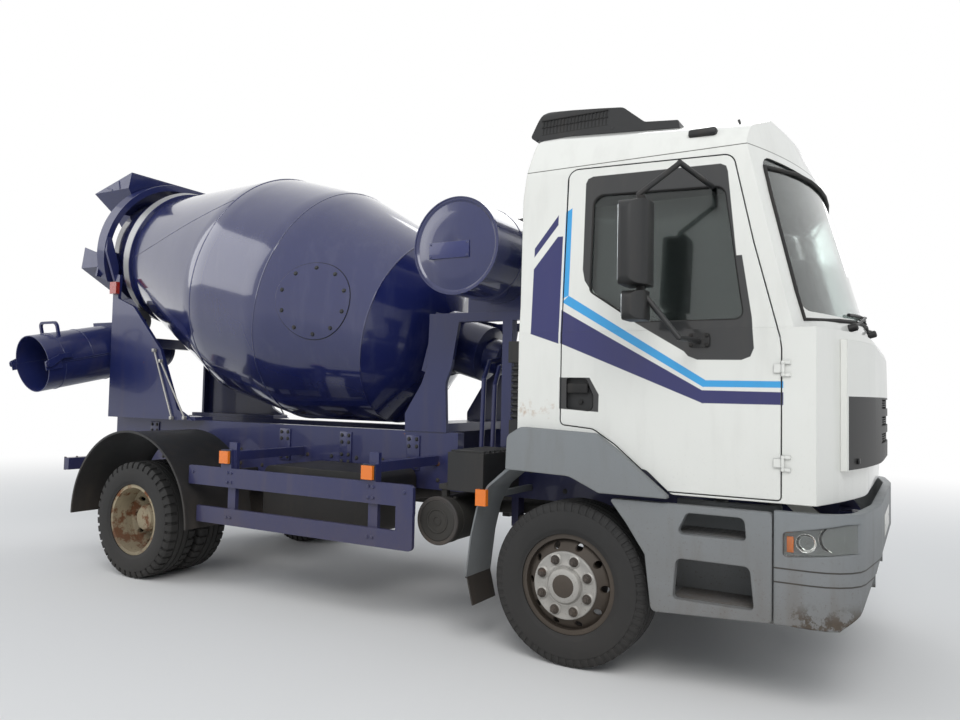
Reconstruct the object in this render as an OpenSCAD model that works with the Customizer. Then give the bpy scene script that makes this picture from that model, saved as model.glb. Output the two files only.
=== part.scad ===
// Concrete mixer truck: a cab-over chassis with two axles, a drum on pedestals, a feed hopper
// and a fold-over chute. X points forward, Y to the truck's left and Z up. X is 0 at the front
// axle while the pieces are drawn, and the whole truck is then moved so that it is centred.

/* [Wheels] */
// Distance between the front and rear axles
wheelbase = 3480; // [3440:10:3520]
// Outer diameter of every tyre
tyre_d = 860; // [846:2:868]
// Width of every tyre
tyre_w = 262; // [254:1:266]
// Diameter of the rims where the tyres sit
rim_d = 496; // [486:2:504]
// Distance from the centre line to the outer face of a front tyre
front_out = 1100; // [1094:1:1106]
// Distance from the centre line to the outer face of a rear pair
rear_out = 1150; // [1144:1:1156]
// Gap between the two tyres of a rear pair
twin_gap = 18; // [14:1:24]
// Thickness of the wheel discs
disc_t = 14; // [12:1:16]
// Radius of the holes in the wheel discs
hand_hole_r = 19; // [15:1:22]
// Distance from the centre line to a front wheel's kingpin
kingpin_y = 862; // [856:1:868]
// Radius of the kingpins
kingpin_r = 20; // [18:1:22]

/* [Frame] */
// Height of the rails' top above the ground
rail_top = 1000; // [990:2:1006]
// Depth of a rail
rail_h = 240; // [230:2:250]
// Width of a rail's flanges
rail_w = 80; // [70:2:84]
// Plate thickness of the rails
rail_t = 9; // [7:1:12]
// Distance from the centre line to the outer face of a rail
rail_out = 430; // [424:1:436]
// Depth of the mixer's subframe on top of the rails
subframe_h = 150; // [140:2:156]
// Reach of the rails ahead of the front axle
frame_front = 1240; // [1230:2:1250]
// Radius of the holes for the two towing pins
tow_pin_r = 19; // [16:1:22]

/* [Cab] */
// Width of the cab over its sides
cab_w = 2260; // [2240:2:2280]
// Thickness of the cab's walls and doors
cab_wall = 48; // [40:1:54]
// Height of the roof's crown
roof_z = 2956; // [2950:5:3000]
// Height of the cab's bottom edge
cab_bottom = 948; // [946:1:954]
// Height of the ledge below the windscreen
cowl_z = 1750; // [1740:2:1760]
// Radius of the windscreen's sideways curve
screen_r = 2760; // [2400:20:3200]
// Thickness of the window glass
glass_t = 6; // [4:1:8]
// Clear gap round the doors
door_gap = 6; // [5:1:8]
// Height of the cab's tilting pivot
pivot_z = 600; // [596:1:604]
// Place of the cab's tilting pivot ahead of the front axle
pivot_x = 1360; // [1356:1:1362]
// Radius of the tilting pivot's pins
pivot_r = 22; // [18:1:24]
// Height of the bumper's top edge
bumper_top = 915; // [905:1:917]

/* [Drum] */
// Upward slope of the drum's axis towards the rear, in degrees
drum_tilt = 15.5; // [15.2:0.1:15.7]
// Place of the drum's front end on its axis, behind the front axle
drum_start = 1500; // [1490:2:1510]
// Height of the drum's axis at its front end
drum_z = 1813; // [1810:1:1825]
// Largest radius of the drum
drum_r = 942; // [920:2:945]
// Thickness of the drum's shell
drum_wall = 9; // [7:1:14]
// Distance along the axis to the running ring
ring_s = 3000; // [2980:5:3010]
// Radius of the running ring
ring_r = 622; // [616:1:626]
// Width of the running ring
ring_w = 84; // [70:2:90]
// Distance along the axis to the drum's mouth
mouth_s = 3420; // [3410:2:3430]
// Radius of the drum's mouth
mouth_r = 462; // [455:1:466]
// Radius of the two rollers under the running ring
roller_r = 122; // [115:1:126]

/* [Tanks and chute] */
// Radius of the water tank
tank_r = 290; // [280:2:294]
// Length of the water tank
tank_l = 2000; // [1960:5:2040]
// Height of the water tank's axis
tank_z = 2300; // [2296:1:2310]
// Distance from the front axle back to the water tank's axis
tank_back = 800; // [796:1:806]
// Radius of the chute's trough
chute_r = 242; // [230:1:244]
// Length of the main chute, from its pivot
chute_l = 1060; // [1040:2:1080]
// Downward slope of the chute as it is stowed, in degrees
chute_slope = 12; // [11:0.5:13]
// Radius of the chute's upright swivel pin
swivel_r = 40; // [34:1:44]

/* [Hidden] */
$fn = 48;

// Clearances: seats that touch and running fits on pins
seat_gap = 0.3;
pin_fit = 0.05;

// Places along the truck and heights that several pieces share
axle_z = tyre_d / 2;
rear_x = -wheelbase;
front_tyre_y = front_out - tyre_w / 2;
twin_pitch = tyre_w + twin_gap;
rear_tyre_y = rear_out - tyre_w / 2;
disc_off = twin_pitch / 2 - disc_t;
rail_low = rail_top - rail_h;
deck_z = rail_top + subframe_h;
side_y = cab_w / 2;
drum_x = -drum_start;
ring_x = drum_x - ring_s * cos(drum_tilt);
ring_z = drum_z + ring_s * sin(drum_tilt);
mouth_x = drum_x - mouth_s * cos(drum_tilt);
mouth_z = drum_z + mouth_s * sin(drum_tilt);
chute_x = mouth_x - 134;
chute_z = 1822;
stand_rear = chute_x + chute_r + 26;
frame_rear = stand_rear - 50;
tank_x = -tank_back;
cab_front = 1414;
hopper_back = 404;
// The drawn X that comes to lie at 0, halfway between the front lid and the hopper's back edge
centre_x = (cab_front + 30 + mouth_x - hopper_back) / 2;

// Colours of the photographed truck
navy = "#182a5c";
white = "#e9e8e3";
grey = "#6f7274";
black = "#1d1e20";
rust = "#5b4438";
amber = "#d9822b";

// Helper functions for outlines. A row is [across, up, corner radius], listed anticlockwise.
function unit(v) = v / norm(v);
function turned(v) = [-v[1], v[0]];
function at(rows, i) = let (n = len(rows)) rows[(i + n) % n];
function spot(row) = [row[0], row[1]];
function radius_of(row) = len(row) > 2 ? row[2] : 0;
// The outline moved inwards by d on every side
function inset(rows, d) = [
    for (i = [0:len(rows) - 1])
    let (
        a = unit(spot(rows[i]) - spot(at(rows, i - 1))),
        b = unit(spot(at(rows, i + 1)) - spot(rows[i])),
        m = (turned(a) + turned(b)) / (1 + a * b),
        r = radius_of(rows[i]),
        inner = cross(a, b) > 0 ? max(r - d, 0) : (r > 0 ? r + d : 0)
    )
    [rows[i][0] + d * m[0], rows[i][1] + d * m[1], inner]
];
// The outline's points, with each corner turned into an arc of its radius
function rounded(rows) = [
    for (i = [0:len(rows) - 1])
    let (
        b = spot(rows[i]),
        u = unit(spot(at(rows, i - 1)) - b),
        v = unit(spot(at(rows, i + 1)) - b),
        half = acos(max(-1, min(1, u * v))) / 2,
        r = radius_of(rows[i]),
        flat = r <= 0 || half > 89.5,
        middle = flat ? b : b + unit(u + v) * r / sin(half),
        start = flat ? b : b + u * r / tan(half) - middle,
        finish = flat ? b : b + v * r / tan(half) - middle,
        a0 = atan2(start[1], start[0]),
        sweep = (atan2(finish[1], finish[0]) - a0 + 540) % 360 - 180,
        steps = flat ? 0 : max(1, ceil(abs(sweep) / 18))
    )
    each (flat ? [b] : [for (k = [0:steps]) middle + r * [cos(a0 + sweep * k / steps),
                                                         sin(a0 + sweep * k / steps)]])
];

// Plates: an outline in the side view, the front view or the plan, with a thickness
module side_plate(rows, y0, y1) {
    translate([0, y1, 0])
    rotate([90, 0, 0])
    linear_extrude(y1 - y0)
    polygon(rounded(rows));
}
module front_plate(rows, x0, x1) {
    translate([x0, 0, 0])
    rotate([90, 0, 90])
    linear_extrude(x1 - x0)
    polygon(rounded(rows));
}
module plan_plate(rows, z0, z1) {
    translate([0, 0, z0])
    linear_extrude(z1 - z0)
    polygon(rounded(rows));
}
// A block between two opposite corners
module block(low, high) {
    translate(low) cube(high - low);
}
// A round bar or disc across the truck from y0 to y1
module bar_y(r, x, z, y0, y1) {
    translate([x, y0, z]) rotate([-90, 0, 0]) cylinder(r = r, h = y1 - y0);
}
// A round bar between two points
module rod(a, b, r) {
    v = b - a;
    translate(a)
    rotate([0, acos(v[2] / norm(v)), atan2(v[1], v[0])])
    cylinder(r = r, h = norm(v), $fn = 24);
}
// The children and their mirror image on the truck's other side
module both() {
    children();
    mirror([0, 1, 0]) children();
}
module right() {
    mirror([0, 1, 0]) children();
}
// The children, drawn from the front axle, moved into the truck's own frame
module placed() {
    translate([-centre_x, 0, 0]) children();
}
// The children, drawn round Z, laid along the drum's axis with Z running to the rear
module on_drum() {
    translate([drum_x, 0, drum_z])
    rotate([0, drum_tilt - 90, 0])
    children();
}

// Tyres and rims, drawn on the left side with their outer faces towards +Y

// Tyre section, rows of [distance from the middle plane, radius]
rim_wall = 12;
rim_half = 0.38 * tyre_w - 1;
flange_r = rim_d / 2 + 13;
tyre_rows = [
    [-rim_half + seat_gap, rim_d / 2 + seat_gap], [rim_half - seat_gap, rim_d / 2 + seat_gap],
    [rim_half - seat_gap, flange_r + seat_gap], [0.45 * tyre_w, flange_r + seat_gap],
    [0.5 * tyre_w, rim_d / 2 + 84],
    [0.485 * tyre_w, axle_z - 52], [0.43 * tyre_w, axle_z - 12], [0.35 * tyre_w, axle_z],
    [-0.35 * tyre_w, axle_z], [-0.43 * tyre_w, axle_z - 12], [-0.485 * tyre_w, axle_z - 52],
    [-0.5 * tyre_w, rim_d / 2 + 84], [-0.45 * tyre_w, flange_r + seat_gap],
    [-rim_half + seat_gap, flange_r + seat_gap]
];
// Turns rows of [distance along Y, radius] round a line across the truck
module turned_y(rows, x, y, z) {
    translate([x, y, z])
    rotate([-90, 0, 0])
    rotate_extrude()
    polygon([for (row = rows) [row[1], row[0]]]);
}
module tyre(x, y) {
    turned_y(tyre_rows, x, y, axle_z);
}
// The bowl of a wheel: barrel, flanges and disc, with the disc's face towards +Y
module wheel_bowl(x, y) {
    barrel_r = rim_d / 2 - rim_wall;
    face_r = 172;
    difference() {
        turned_y([
            [-rim_half - 12, barrel_r], [-rim_half - 12, flange_r], [-rim_half, flange_r],
            [-rim_half, rim_d / 2], [rim_half, rim_d / 2], [rim_half, flange_r],
            [rim_half + 12, flange_r], [rim_half + 12, barrel_r], [disc_off - 50, barrel_r],
            [disc_off + disc_t, face_r], [disc_off + disc_t, 60], [disc_off, 60],
            [disc_off, face_r - 8], [disc_off - 74, barrel_r]
        ], x, y, axle_z);
        for (k = [0:9])
        translate([x, y, axle_z])
        rotate([0, 36 * k, 0])
        translate([205, 0, 0])
        rotate([-90, 0, 0])
        cylinder(r = hand_hole_r, h = disc_off + 40, $fn = 20);
    }
}
spindle_front_r = 34;
spindle_front_end = front_out + 4;
drum_front_in = kingpin_y + 82;
// A front wheel's rim with its hub, hub cap and brake drum
module rim_front() {
    wheel_bowl(0, front_tyre_y);
    disc_in = front_tyre_y + disc_off;
    turned_y([
        [drum_front_in, spindle_front_r + pin_fit], [spindle_front_end + 6,
        spindle_front_r + pin_fit], [spindle_front_end + 6, 0], [disc_in + 46, 0],
        [disc_in + 46, 52], [disc_in + 36, 72], [disc_in + disc_t, 78], [disc_in + disc_t, 90],
        [disc_in, 90], [disc_in, 140], [disc_in - 30, 176], [drum_front_in, 176]
    ], 0, 0, axle_z);
}
spindle_rear_r = 46;
axle_tube_end = 636;
drum_rear_in = axle_tube_end + 12;
rear_disc_y = rear_tyre_y - disc_off;
spindle_rear_end = rear_disc_y + 118;
// A rear pair of rims, back to back, with their hub and brake drum
module rims_rear() {
    translate([0, 2 * rear_tyre_y, 0])
    mirror([0, 1, 0])
    wheel_bowl(rear_x, rear_tyre_y);
    wheel_bowl(rear_x, rear_tyre_y - twin_pitch);
    turned_y([
        [drum_rear_in, spindle_rear_r + pin_fit], [spindle_rear_end + 6,
        spindle_rear_r + pin_fit], [spindle_rear_end + 6, 0], [spindle_rear_end + 26, 0],
        [spindle_rear_end + 26, 82], [spindle_rear_end + 4, 100], [rear_disc_y + 30, 112],
        [rear_disc_y, 126], [rear_disc_y - 2 * disc_t, 140], [rear_disc_y - 2 * disc_t - 50, 196],
        [drum_rear_in, 196]
    ], rear_x, 0, axle_z);
}
module rim_front_right() color(rust) placed() right() rim_front();
module rim_front_left() color(rust) placed() rim_front();
module rims_rear_right() color("#b9ae93") placed() right() rims_rear();
module rims_rear_left() color("#b9ae93") placed() rims_rear();
module tyre_front_right() color(black) placed() right() tyre(0, front_tyre_y);
module tyre_front_left() color(black) placed() tyre(0, front_tyre_y);
module tyres_rear() {
    tyre(rear_x, rear_tyre_y);
    tyre(rear_x, rear_tyre_y - twin_pitch);
}
module tyres_rear_right() color(black) placed() right() tyres_rear();
module tyres_rear_left() color(black) placed() tyres_rear();

// Frame: two channel rails, cross members, the subframe and the spring and pivot brackets
tail_y = 880;
eye_r = 26;
hanger_gap = 24 + eye_r;
spring_y = rail_out - 36;
spring_half = 600;
spring_sag = 150;
spring_t = 14;
front_eye_z = 616;
rear_eye_z = 720;
arm_in = rail_out + 22;
arm_out = arm_in + 46;
// Cross members, rows of [x, height, length along X]
cross_rows = [
    [1130, 150, 60], [-1060, 150, 60], [-1400, 180, 70], [-2350, 150, 60],
    [rear_x + 640, 180, 70], [rear_x - 660, 180, 70], [frame_rear + 34, rail_h, 68]
];
module frame() color(navy) placed() {
    both() {
        difference() {
            block([frame_rear, rail_out - rail_w, rail_low], [frame_front, rail_out, rail_top]);
            block([frame_rear - 1, rail_out - rail_w - 1, rail_low + rail_t],
                  [frame_front + 1, rail_out - rail_t, rail_top - rail_t]);
        }
        block([frame_rear, rail_out - rail_w, rail_top],
              [-1090, rail_out, deck_z]);
        // Hangers that hold the springs' eyes
        for (row = [[0, front_eye_z], [rear_x, rear_eye_z]])
        for (end = [-1, 1])
        block([row[0] + end * (spring_half + hanger_gap) - 24, rail_out - rail_w, row[1] - 40],
              [row[0] + end * (spring_half + hanger_gap) + 24, rail_out, rail_low + 1]);
        // Bracket and pin of the cab's tilting pivot
        side_plate([
            [frame_front - 90, rail_low, 0], [frame_front - 20, rail_low - 150, 30],
            [pivot_x, pivot_z - 46, 28], [pivot_x + 36, pivot_z, 28],
            [frame_front, rail_low + 70, 30], [frame_front - 90, rail_low + 70, 0]
        ], rail_out - 40, rail_out);
        bar_y(pivot_r, pivot_x, pivot_z, rail_out - 20, arm_out + 14);
        // Posts and pads that the cab's floor rests on
        block([-250, rail_out - 60, rail_top - 2], [-170, rail_out, cab_pad_z - seat_gap]);
    }
    // Tail bar that carries the rear lamps
    block([frame_rear - 50, -tail_y, 700], [frame_rear + 10, tail_y, 800]);
    for (row = cross_rows)
    block([row[0] - row[2] / 2, -rail_out + rail_t / 2, rail_top - rail_t - row[1]],
          [row[0] + row[2] / 2, rail_out - rail_t / 2, rail_top - rail_t]);
    // Towing jaws at both ends, each with a hole for an upright pin
    difference() {
        union() {
            block([1100, -60, rail_low - 30], [1330, 60, rail_low + 40]);
            block([1100, -60, rail_low - 30], [1160, 60, rail_top - rail_t]);
            block([frame_rear - 120, -90, rail_low - 90], [frame_rear + 40, 90, rail_low - 66]);
            block([frame_rear - 120, -90, rail_low - 14], [frame_rear + 40, 90, rail_low + 10]);
            block([frame_rear - 50, -90, rail_low - 90], [frame_rear + 10, 90, rail_low - 10]);
        }
        translate([1290, 0, rail_low - 40]) cylinder(r = tow_pin_r, h = 100);
        translate([frame_rear - 85, 0, rail_low - 100]) cylinder(r = tow_pin_r, h = 160);
    }
    // Socket of the chute's swivel pin, on a bracket behind the last cross member
    difference() {
        union() {
            block([chute_x - 70, -70, swivel_low], [frame_rear + 60, 70, swivel_low + 150]);
            translate([chute_x, 0, swivel_low])
            cylinder(r = swivel_r + 32, h = swivel_high - swivel_low);
        }
        translate([chute_x, 0, swivel_low - 1])
        cylinder(r = swivel_r + pin_fit, h = swivel_high - swivel_low + 2);
    }
}

// Axles: a forged front beam with its kingpins, and the driven rear axle with its housing
boss_half = 66;
module axles() color("#2a2d33") placed() {
    beam_z = axle_z - 80;
    front_plate([
        [-kingpin_y, axle_z - 34], [-700, beam_z - 34, 80], [700, beam_z - 34, 80],
        [kingpin_y, axle_z - 34], [kingpin_y, axle_z + 40], [690, beam_z + 34, 80],
        [-690, beam_z + 34, 80], [-kingpin_y, axle_z + 40]
    ], -42, 42);
    both() {
        translate([0, kingpin_y, axle_z - boss_half]) cylinder(r = 44, h = 2 * boss_half);
        translate([0, kingpin_y, axle_z - boss_half - 52])
        cylinder(r = kingpin_r, h = 2 * boss_half + 104);
        block([-70, spring_y - 40, beam_z + 30], [70, spring_y + 40, front_seat_z - seat_gap]);
        bar_y(72, rear_x, axle_z, -1, axle_tube_end);
        bar_y(spindle_rear_r, rear_x, axle_z, axle_tube_end - 10, spindle_rear_end);
        bar_y(150, rear_x, axle_z, axle_tube_end - 22, axle_tube_end);
        block([rear_x - 80, spring_y - 40, axle_z + 20],
              [rear_x + 80, spring_y + 40, rear_seat_z - seat_gap]);
    }
    // The final drive's round housing and its nose
    translate([rear_x - 120, 0, axle_z])
    rotate([0, 90, 0])
    cylinder(r = 196, h = 250);
    translate([rear_x + 100, 0, axle_z + 10])
    rotate([0, 90, 0])
    cylinder(r1 = 150, r2 = 84, h = 150);
    translate([rear_x - 170, 0, axle_z])
    rotate([0, 90, 0])
    cylinder(r1 = 110, r2 = 180, h = 60);
}

// Leaf springs: each pack is a row of curved leaves, shorter from top to bottom
leaf_count = 4;
front_seat_z = front_eye_z - spring_sag - leaf_count * spring_t;
rear_seat_z = rear_eye_z - spring_sag - leaf_count * spring_t;
leaf_r = (spring_half * spring_half + spring_sag * spring_sag) / (2 * spring_sag);
module leaf_pack(x, eye_z) {
    low = eye_z - spring_sag;
    step = asin(spring_half / leaf_r) / 10;
    translate([x, spring_y + 35, low + leaf_r])
    rotate([90, 0, 0])
    linear_extrude(70)
    for (k = [0:leaf_count - 1]) {
        half = 10 - 2 * k;
        outer = leaf_r + (k + 1) * spring_t;
        inner = leaf_r + k * spring_t - (k > 0 ? 2 : 0);
        polygon([
            for (i = [-half:half]) outer * [sin(step * i), -cos(step * i)],
            for (i = [half:-1:-half]) inner * [sin(step * i), -cos(step * i)]
        ]);
    }
    for (end = [-1, 1])
    bar_y(eye_r - seat_gap, x + end * spring_half, eye_z + 10, spring_y - 35, spring_y + 35);
    // The clamp that holds the pack to the axle
    for (end = [-1, 1])
    block([x + end * 60 - 9, spring_y - 35, low - leaf_count * spring_t + 12],
          [x + end * 60 + 9, spring_y + 35, low + 26]);
}
module leaf_springs() color("#2a2d33") placed() both() {
    leaf_pack(0, front_eye_z);
    leaf_pack(rear_x, rear_eye_z);
}

// Powertrain: the engine as one plain block, its gearbox and the shaft to the rear axle
engine_half = 320;
module powertrain() color("#3a3d42") placed() {
    block([-330, -engine_half, 640], [760, engine_half, 1240]);
    translate([-320, 0, 800])
    rotate([0, -90, 0])
    cylinder(r1 = 230, r2 = 140, h = 620);
    rod([-930, 0, 780], [rear_x + 262, 0, axle_z + 12], 48);
    translate([rear_x + 250 + seat_gap, 0, axle_z + 10])
    rotate([0, 90, 0])
    cylinder(r = 72, h = 22);
    rod([-2050, 0, 655], [-2110, 0, 647], 84);
}

// Steering: stub axles on the kingpins, and the track rod between their arms
arm_x = -150;
arm_y = kingpin_y;
ear_t = 40;
module knuckle() {
    difference() {
        union() {
            for (low = [axle_z + boss_half + 2, axle_z - boss_half - 2 - ear_t])
            plan_plate([
                [-46, kingpin_y - 46, 40], [46, kingpin_y - 46, 40],
                [46, kingpin_y + 70], [-46, kingpin_y + 70]
            ], low, low + ear_t);
            block([-46, kingpin_y + 46, axle_z - boss_half - 2 - ear_t],
                  [46, kingpin_y + 72, axle_z + boss_half + 2 + ear_t]);
            plan_plate([
                [arm_x - 22, arm_y - 22, 20], [arm_x + 22, arm_y - 22], [-20, kingpin_y - 36],
                [-20, kingpin_y + 36], [arm_x + 22, arm_y + 22], [arm_x - 22, arm_y + 22, 20]
            ], axle_z - boss_half - 2 - ear_t, axle_z - boss_half - 16);
        }
        translate([0, kingpin_y, axle_z - 150]) cylinder(r = kingpin_r + pin_fit, h = 300);
        translate([arm_x, arm_y, axle_z - 150]) cylinder(r = 10 + pin_fit, h = 150);
    }
    bar_y(170, 0, axle_z, kingpin_y + 66, drum_front_in - 6);
    bar_y(spindle_front_r, 0, axle_z, kingpin_y + 60, spindle_front_end);
}
module knuckle_right() color("#2a2d33") placed() right() knuckle();
module knuckle_left() color("#2a2d33") placed() knuckle();
module track_rod() color("#2a2d33") placed() {
    low = axle_z - boss_half - 2 - ear_t;
    rod([arm_x, -arm_y + 16, low - 22], [arm_x, arm_y - 16, low - 22], 15);
    both() {
        translate([arm_x, arm_y, low - 42]) cylinder(r = 21, h = 41);
        translate([arm_x, arm_y, low - 10]) cylinder(r = 10, h = 46);
    }
}

// Tanks and boxes hung on the frame: fuel and the air cleaner on the right, air and
// batteries on the left
tank_in = rail_out + 30;
module tanks() color(black) placed() {
    side_plate([
        [-2330, 500, 90], [-1400, 500, 90], [-1400, 900, 70], [-2330, 900, 70]
    ], -960, -tank_in);
    for (x = [-2150, -1600])
    block([x - 30, -tank_in, 620], [x + 30, -rail_out - seat_gap, 900]);
    // Two air reservoirs and the battery box
    for (z = [600, 820])
    translate([-1300, 690, z])
    rotate([0, 90, 0])
    cylinder(r = 104, h = 640);
    block([-1200, rail_out + seat_gap, 480], [-1140, 800, 920]);
    block([-800, rail_out + seat_gap, 480], [-740, 800, 920]);
    block([-2200, rail_out + seat_gap, 520], [-1500, 1000, 900]);
    air_cleaner();
}

// Air cleaner behind the cab: its ribbed box, the bellows beside it and the duct to the engine
cleaner_top = 1085;
bellows_x = -372;
bellows_y = -900;
module air_cleaner() {
    block([-800, -1010, 850], [-560, -560, cleaner_top - 12]);
    for (k = [0:6]) block([-790, -990 + 62 * k, cleaner_top - 14], [-570, -962 + 62 * k, cleaner_top]);
    block([-700, -562, 880], [-640, -rail_out - seat_gap, 940]);
    // Bellows, with their ribs, and the inlet on top
    translate([bellows_x, bellows_y, 0])
    rotate_extrude()
    polygon([
        [0, 1270], [54, 1270],
        for (k = [0:8]) each [[54, 1280 + 34 * k], [66, 1290 + 34 * k], [66, 1300 + 34 * k],
                              [54, 1310 + 34 * k]],
        [54, 1600], [0, 1600]
    ]);
    block([bellows_x - 60, bellows_y - 70, 1598], [bellows_x + 58, bellows_y + 130, 1720]);
    block([bellows_x - 56, bellows_y - 58, 1160], [bellows_x + 70, -engine_half - seat_gap, 1272]);
}

// Silencer across the frame, with its end pipe and its straps
module silencer() color(rust) placed() {
    turned_y([
        [-1052, 0], [-1052, 112], [-1036, 135], [-560, 135], [-540, 110], [-540, 0]
    ], -840, 0, 672);
    rod([-840, -560, 672], [-840, -270, 672], 42);
    rod([-860, -300, 672], [-336, -300, 700], 42);
    for (y = [-960, -640])
    difference() {
        block([-858, y - 18, 672 + 120], [-822, y + 18, 860]);
        bar_y(120, -840, 672, y - 20, y + 20);
    }
    block([-870, -990, 850], [-810, -rail_out - seat_gap, 880]);
}

// Front bumper, with its wrapped-round corners, and the brackets behind it
bumper_low = 410;
bumper_rear = 1034;
bumper_front = 1442;
bumper_side = side_y + 18;
skin = 44;
bumper_plan = [
    [bumper_rear, -bumper_side], [bumper_front - 70, -bumper_side, 210],
    [bumper_front, -620, 500], [bumper_front, 620, 500], [bumper_front - 70, bumper_side, 210],
    [bumper_rear, bumper_side]
];
lamp_rows = [
    [1072, 712, 20], [1330, 742, 20], [1470, 742], [1470, 872], [1330, 872, 20], [1072, 822, 20]
];
module bumper() color(grey) placed() {
    difference() {
        plan_plate(bumper_plan, bumper_low, bumper_top);
        plan_plate([for (row = inset(bumper_plan, skin)) row[0] < bumper_rear + skin + 1
            ? [bumper_rear - 1, row[1], 0] : row], bumper_low - 1, bumper_top + 1);
        // The underside slopes up to the front edge
        side_plate([
            [1300, bumper_low - 1], [1470, bumper_low - 1], [1470, 720], [1452, 700],
            [1380, 470, 60]
        ], -bumper_side - 1, bumper_side + 1);
        // Slot of the lower air intake
        block([1380, -520, 560], [1500, 520, 640]);
        both()
        intersection() {
            side_plate(lamp_rows, 700, bumper_side + 10);
            plan_plate(lamp_plan(0), 600, 1000);
        }
    }
    both()
    block([frame_front - 30, rail_out - 70, bumper_low + 60],
          [bumper_front - skin + 6, rail_out - 40 - seat_gap, rail_low - 90]);
}
// The ring of space that a headlamp takes in the bumper's corner, seen from above
function lamp_plan(d) = [
    [1060, bumper_side + 20], [1060, bumper_side - skin + 12 + d], [1290, bumper_side - skin + 12
    + d, 130], [1400 + d, 1000, 40], [1400 + d, 940], [1480, 940], [1480, bumper_side + 20]
];

// Lamps: headlamps in the bumper, amber side lamps, tail lamps and the lamp by the chute
module lamps() color(amber) placed() {
    both() {
        intersection() {
            side_plate(inset(lamp_rows, 3), 700, bumper_side + 10);
            plan_plate(lamp_plan(1), 600, 1000);
            plan_plate(inset(bumper_plan, 4), 600, 1000);
        }
        block([-528, 1122, 800], [-462, 1150, 890]);
        for (row = guard_lamps)
        block([row[0] - 42, guard_y + guard_t + seat_gap, row[1] - 42],
              [row[0] + 42, guard_y + guard_t + 26, row[1] + 42]);
        block([frame_rear - 76, 560, 700], [frame_rear - 50.3, 860, 800]);
    }
    block([stand_rear + 2, -stand_y - 66, 2240], [stand_rear + 90, -stand_y - 30.3, 2345]);
}

// Steps below the doors: the grey panel with its two treads, behind each side of the bumper
step_rows = [
    [470, 380, 30], [bumper_rear - 8, 410, 20], [bumper_rear - 8, 905, 20], [250, 905, 10],
    [340, 792, 20], [436, 650, 20]
];
module cab_steps() color(grey) placed() both() {
    difference() {
        side_plate(step_rows, side_y - 24, side_y + 20);
        side_plate([[575, 455, 20], [950, 455, 20], [930, 650, 30], [590, 650, 30]],
                   side_y - 30, side_y + 30);
        side_plate([[590, 765, 20], [915, 765, 20], [905, 870, 30], [640, 870, 30]],
                   side_y - 30, side_y + 30);
    }
    // Treads and the wall behind them
    block([520, 880, 400], [bumper_rear - 8, side_y - 23, 455]);
    block([520, 880, 715], [bumper_rear - 8, side_y - 23, 765]);
    block([520, 850, 400], [bumper_rear - 8, 880, 900]);
    block([620, rail_out + seat_gap, 800], [680, 851, 860]);
    block([900, rail_out + seat_gap, 800], [960, 851, 860]);
}

// Side guards: two rails and an end frame on posts, behind the front wheels
guard_t = 26;
guard_y = 1104;
guard_front = -960;
guard_rear = rear_x + 594;
// Amber lamps on the guards' posts, rows of [x, height]
guard_lamps = [[guard_rear + 371, 950], [guard_front - 325, 930]];
module side_guards() color(navy) placed() both() {
    side_plate([
        [guard_rear, 745, 10], [guard_front - 122, 745], [guard_front - 122, 600],
        [guard_rear + 92, 600], [guard_rear + 92, 490, 10], [guard_front, 490, 30],
        [guard_front, 875, 30], [guard_rear, 875, 10]
    ], guard_y, guard_y + guard_t);
    // Posts and arms
    for (x = [guard_rear + 406, guard_front - 310]) {
        block([x - 35, guard_y - 30, 500], [x + 35, guard_y, 1050]);
        block([x - 30, rail_out + seat_gap, 930], [x + 30, guard_y - 20, 990]);
    }
    for (row = guard_lamps)
    block([row[0] - 50, guard_y, 870], [row[0] + 50, guard_y + guard_t, row[1] + 50]);
}

// Mudguards: arches over the rear pairs and strips behind the front wheels
arch_r = 655;
arch_in = 590;
arch_out = 1200;
module mudguards() color(black) placed() both() {
    // An arch with turned-down lips, swept round the rear axle
    translate([rear_x, 0, axle_z])
    rotate([90, 0, 0])
    rotate_extrude(angle = 180)
    polygon([
        [arch_r - 8, -arch_out], [arch_r + 8, -arch_out], [arch_r + 8, -arch_out + 20],
        [arch_r, -arch_out + 24], [arch_r, -arch_in], [arch_r - 8, -arch_in]
    ]);
    for (end = [-1, 1])
    block([rear_x + end * 532 - 15, rail_out + seat_gap, axle_z + 330],
          [rear_x + end * 532 + 15, arch_in + 10, axle_z + 374]);
    side_plate([
        [-330, 1010], [-345, 1020], [-470, 912, 60], [-536, 790, 60], [-572, 630],
        [-600, 390], [-592, 389], [-562, 632], [-525, 790, 60], [-460, 905, 60]
    ], 846, 1122);
    side_plate([[-598, 392], [-560, 240], [-552, 242], [-590, 392]], 850, 1110);
    block([-560, rail_out + seat_gap, 815], [-530, 850, 850]);
    block([-560, 846, 800], [-528, 862, 860]);
}

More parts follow.
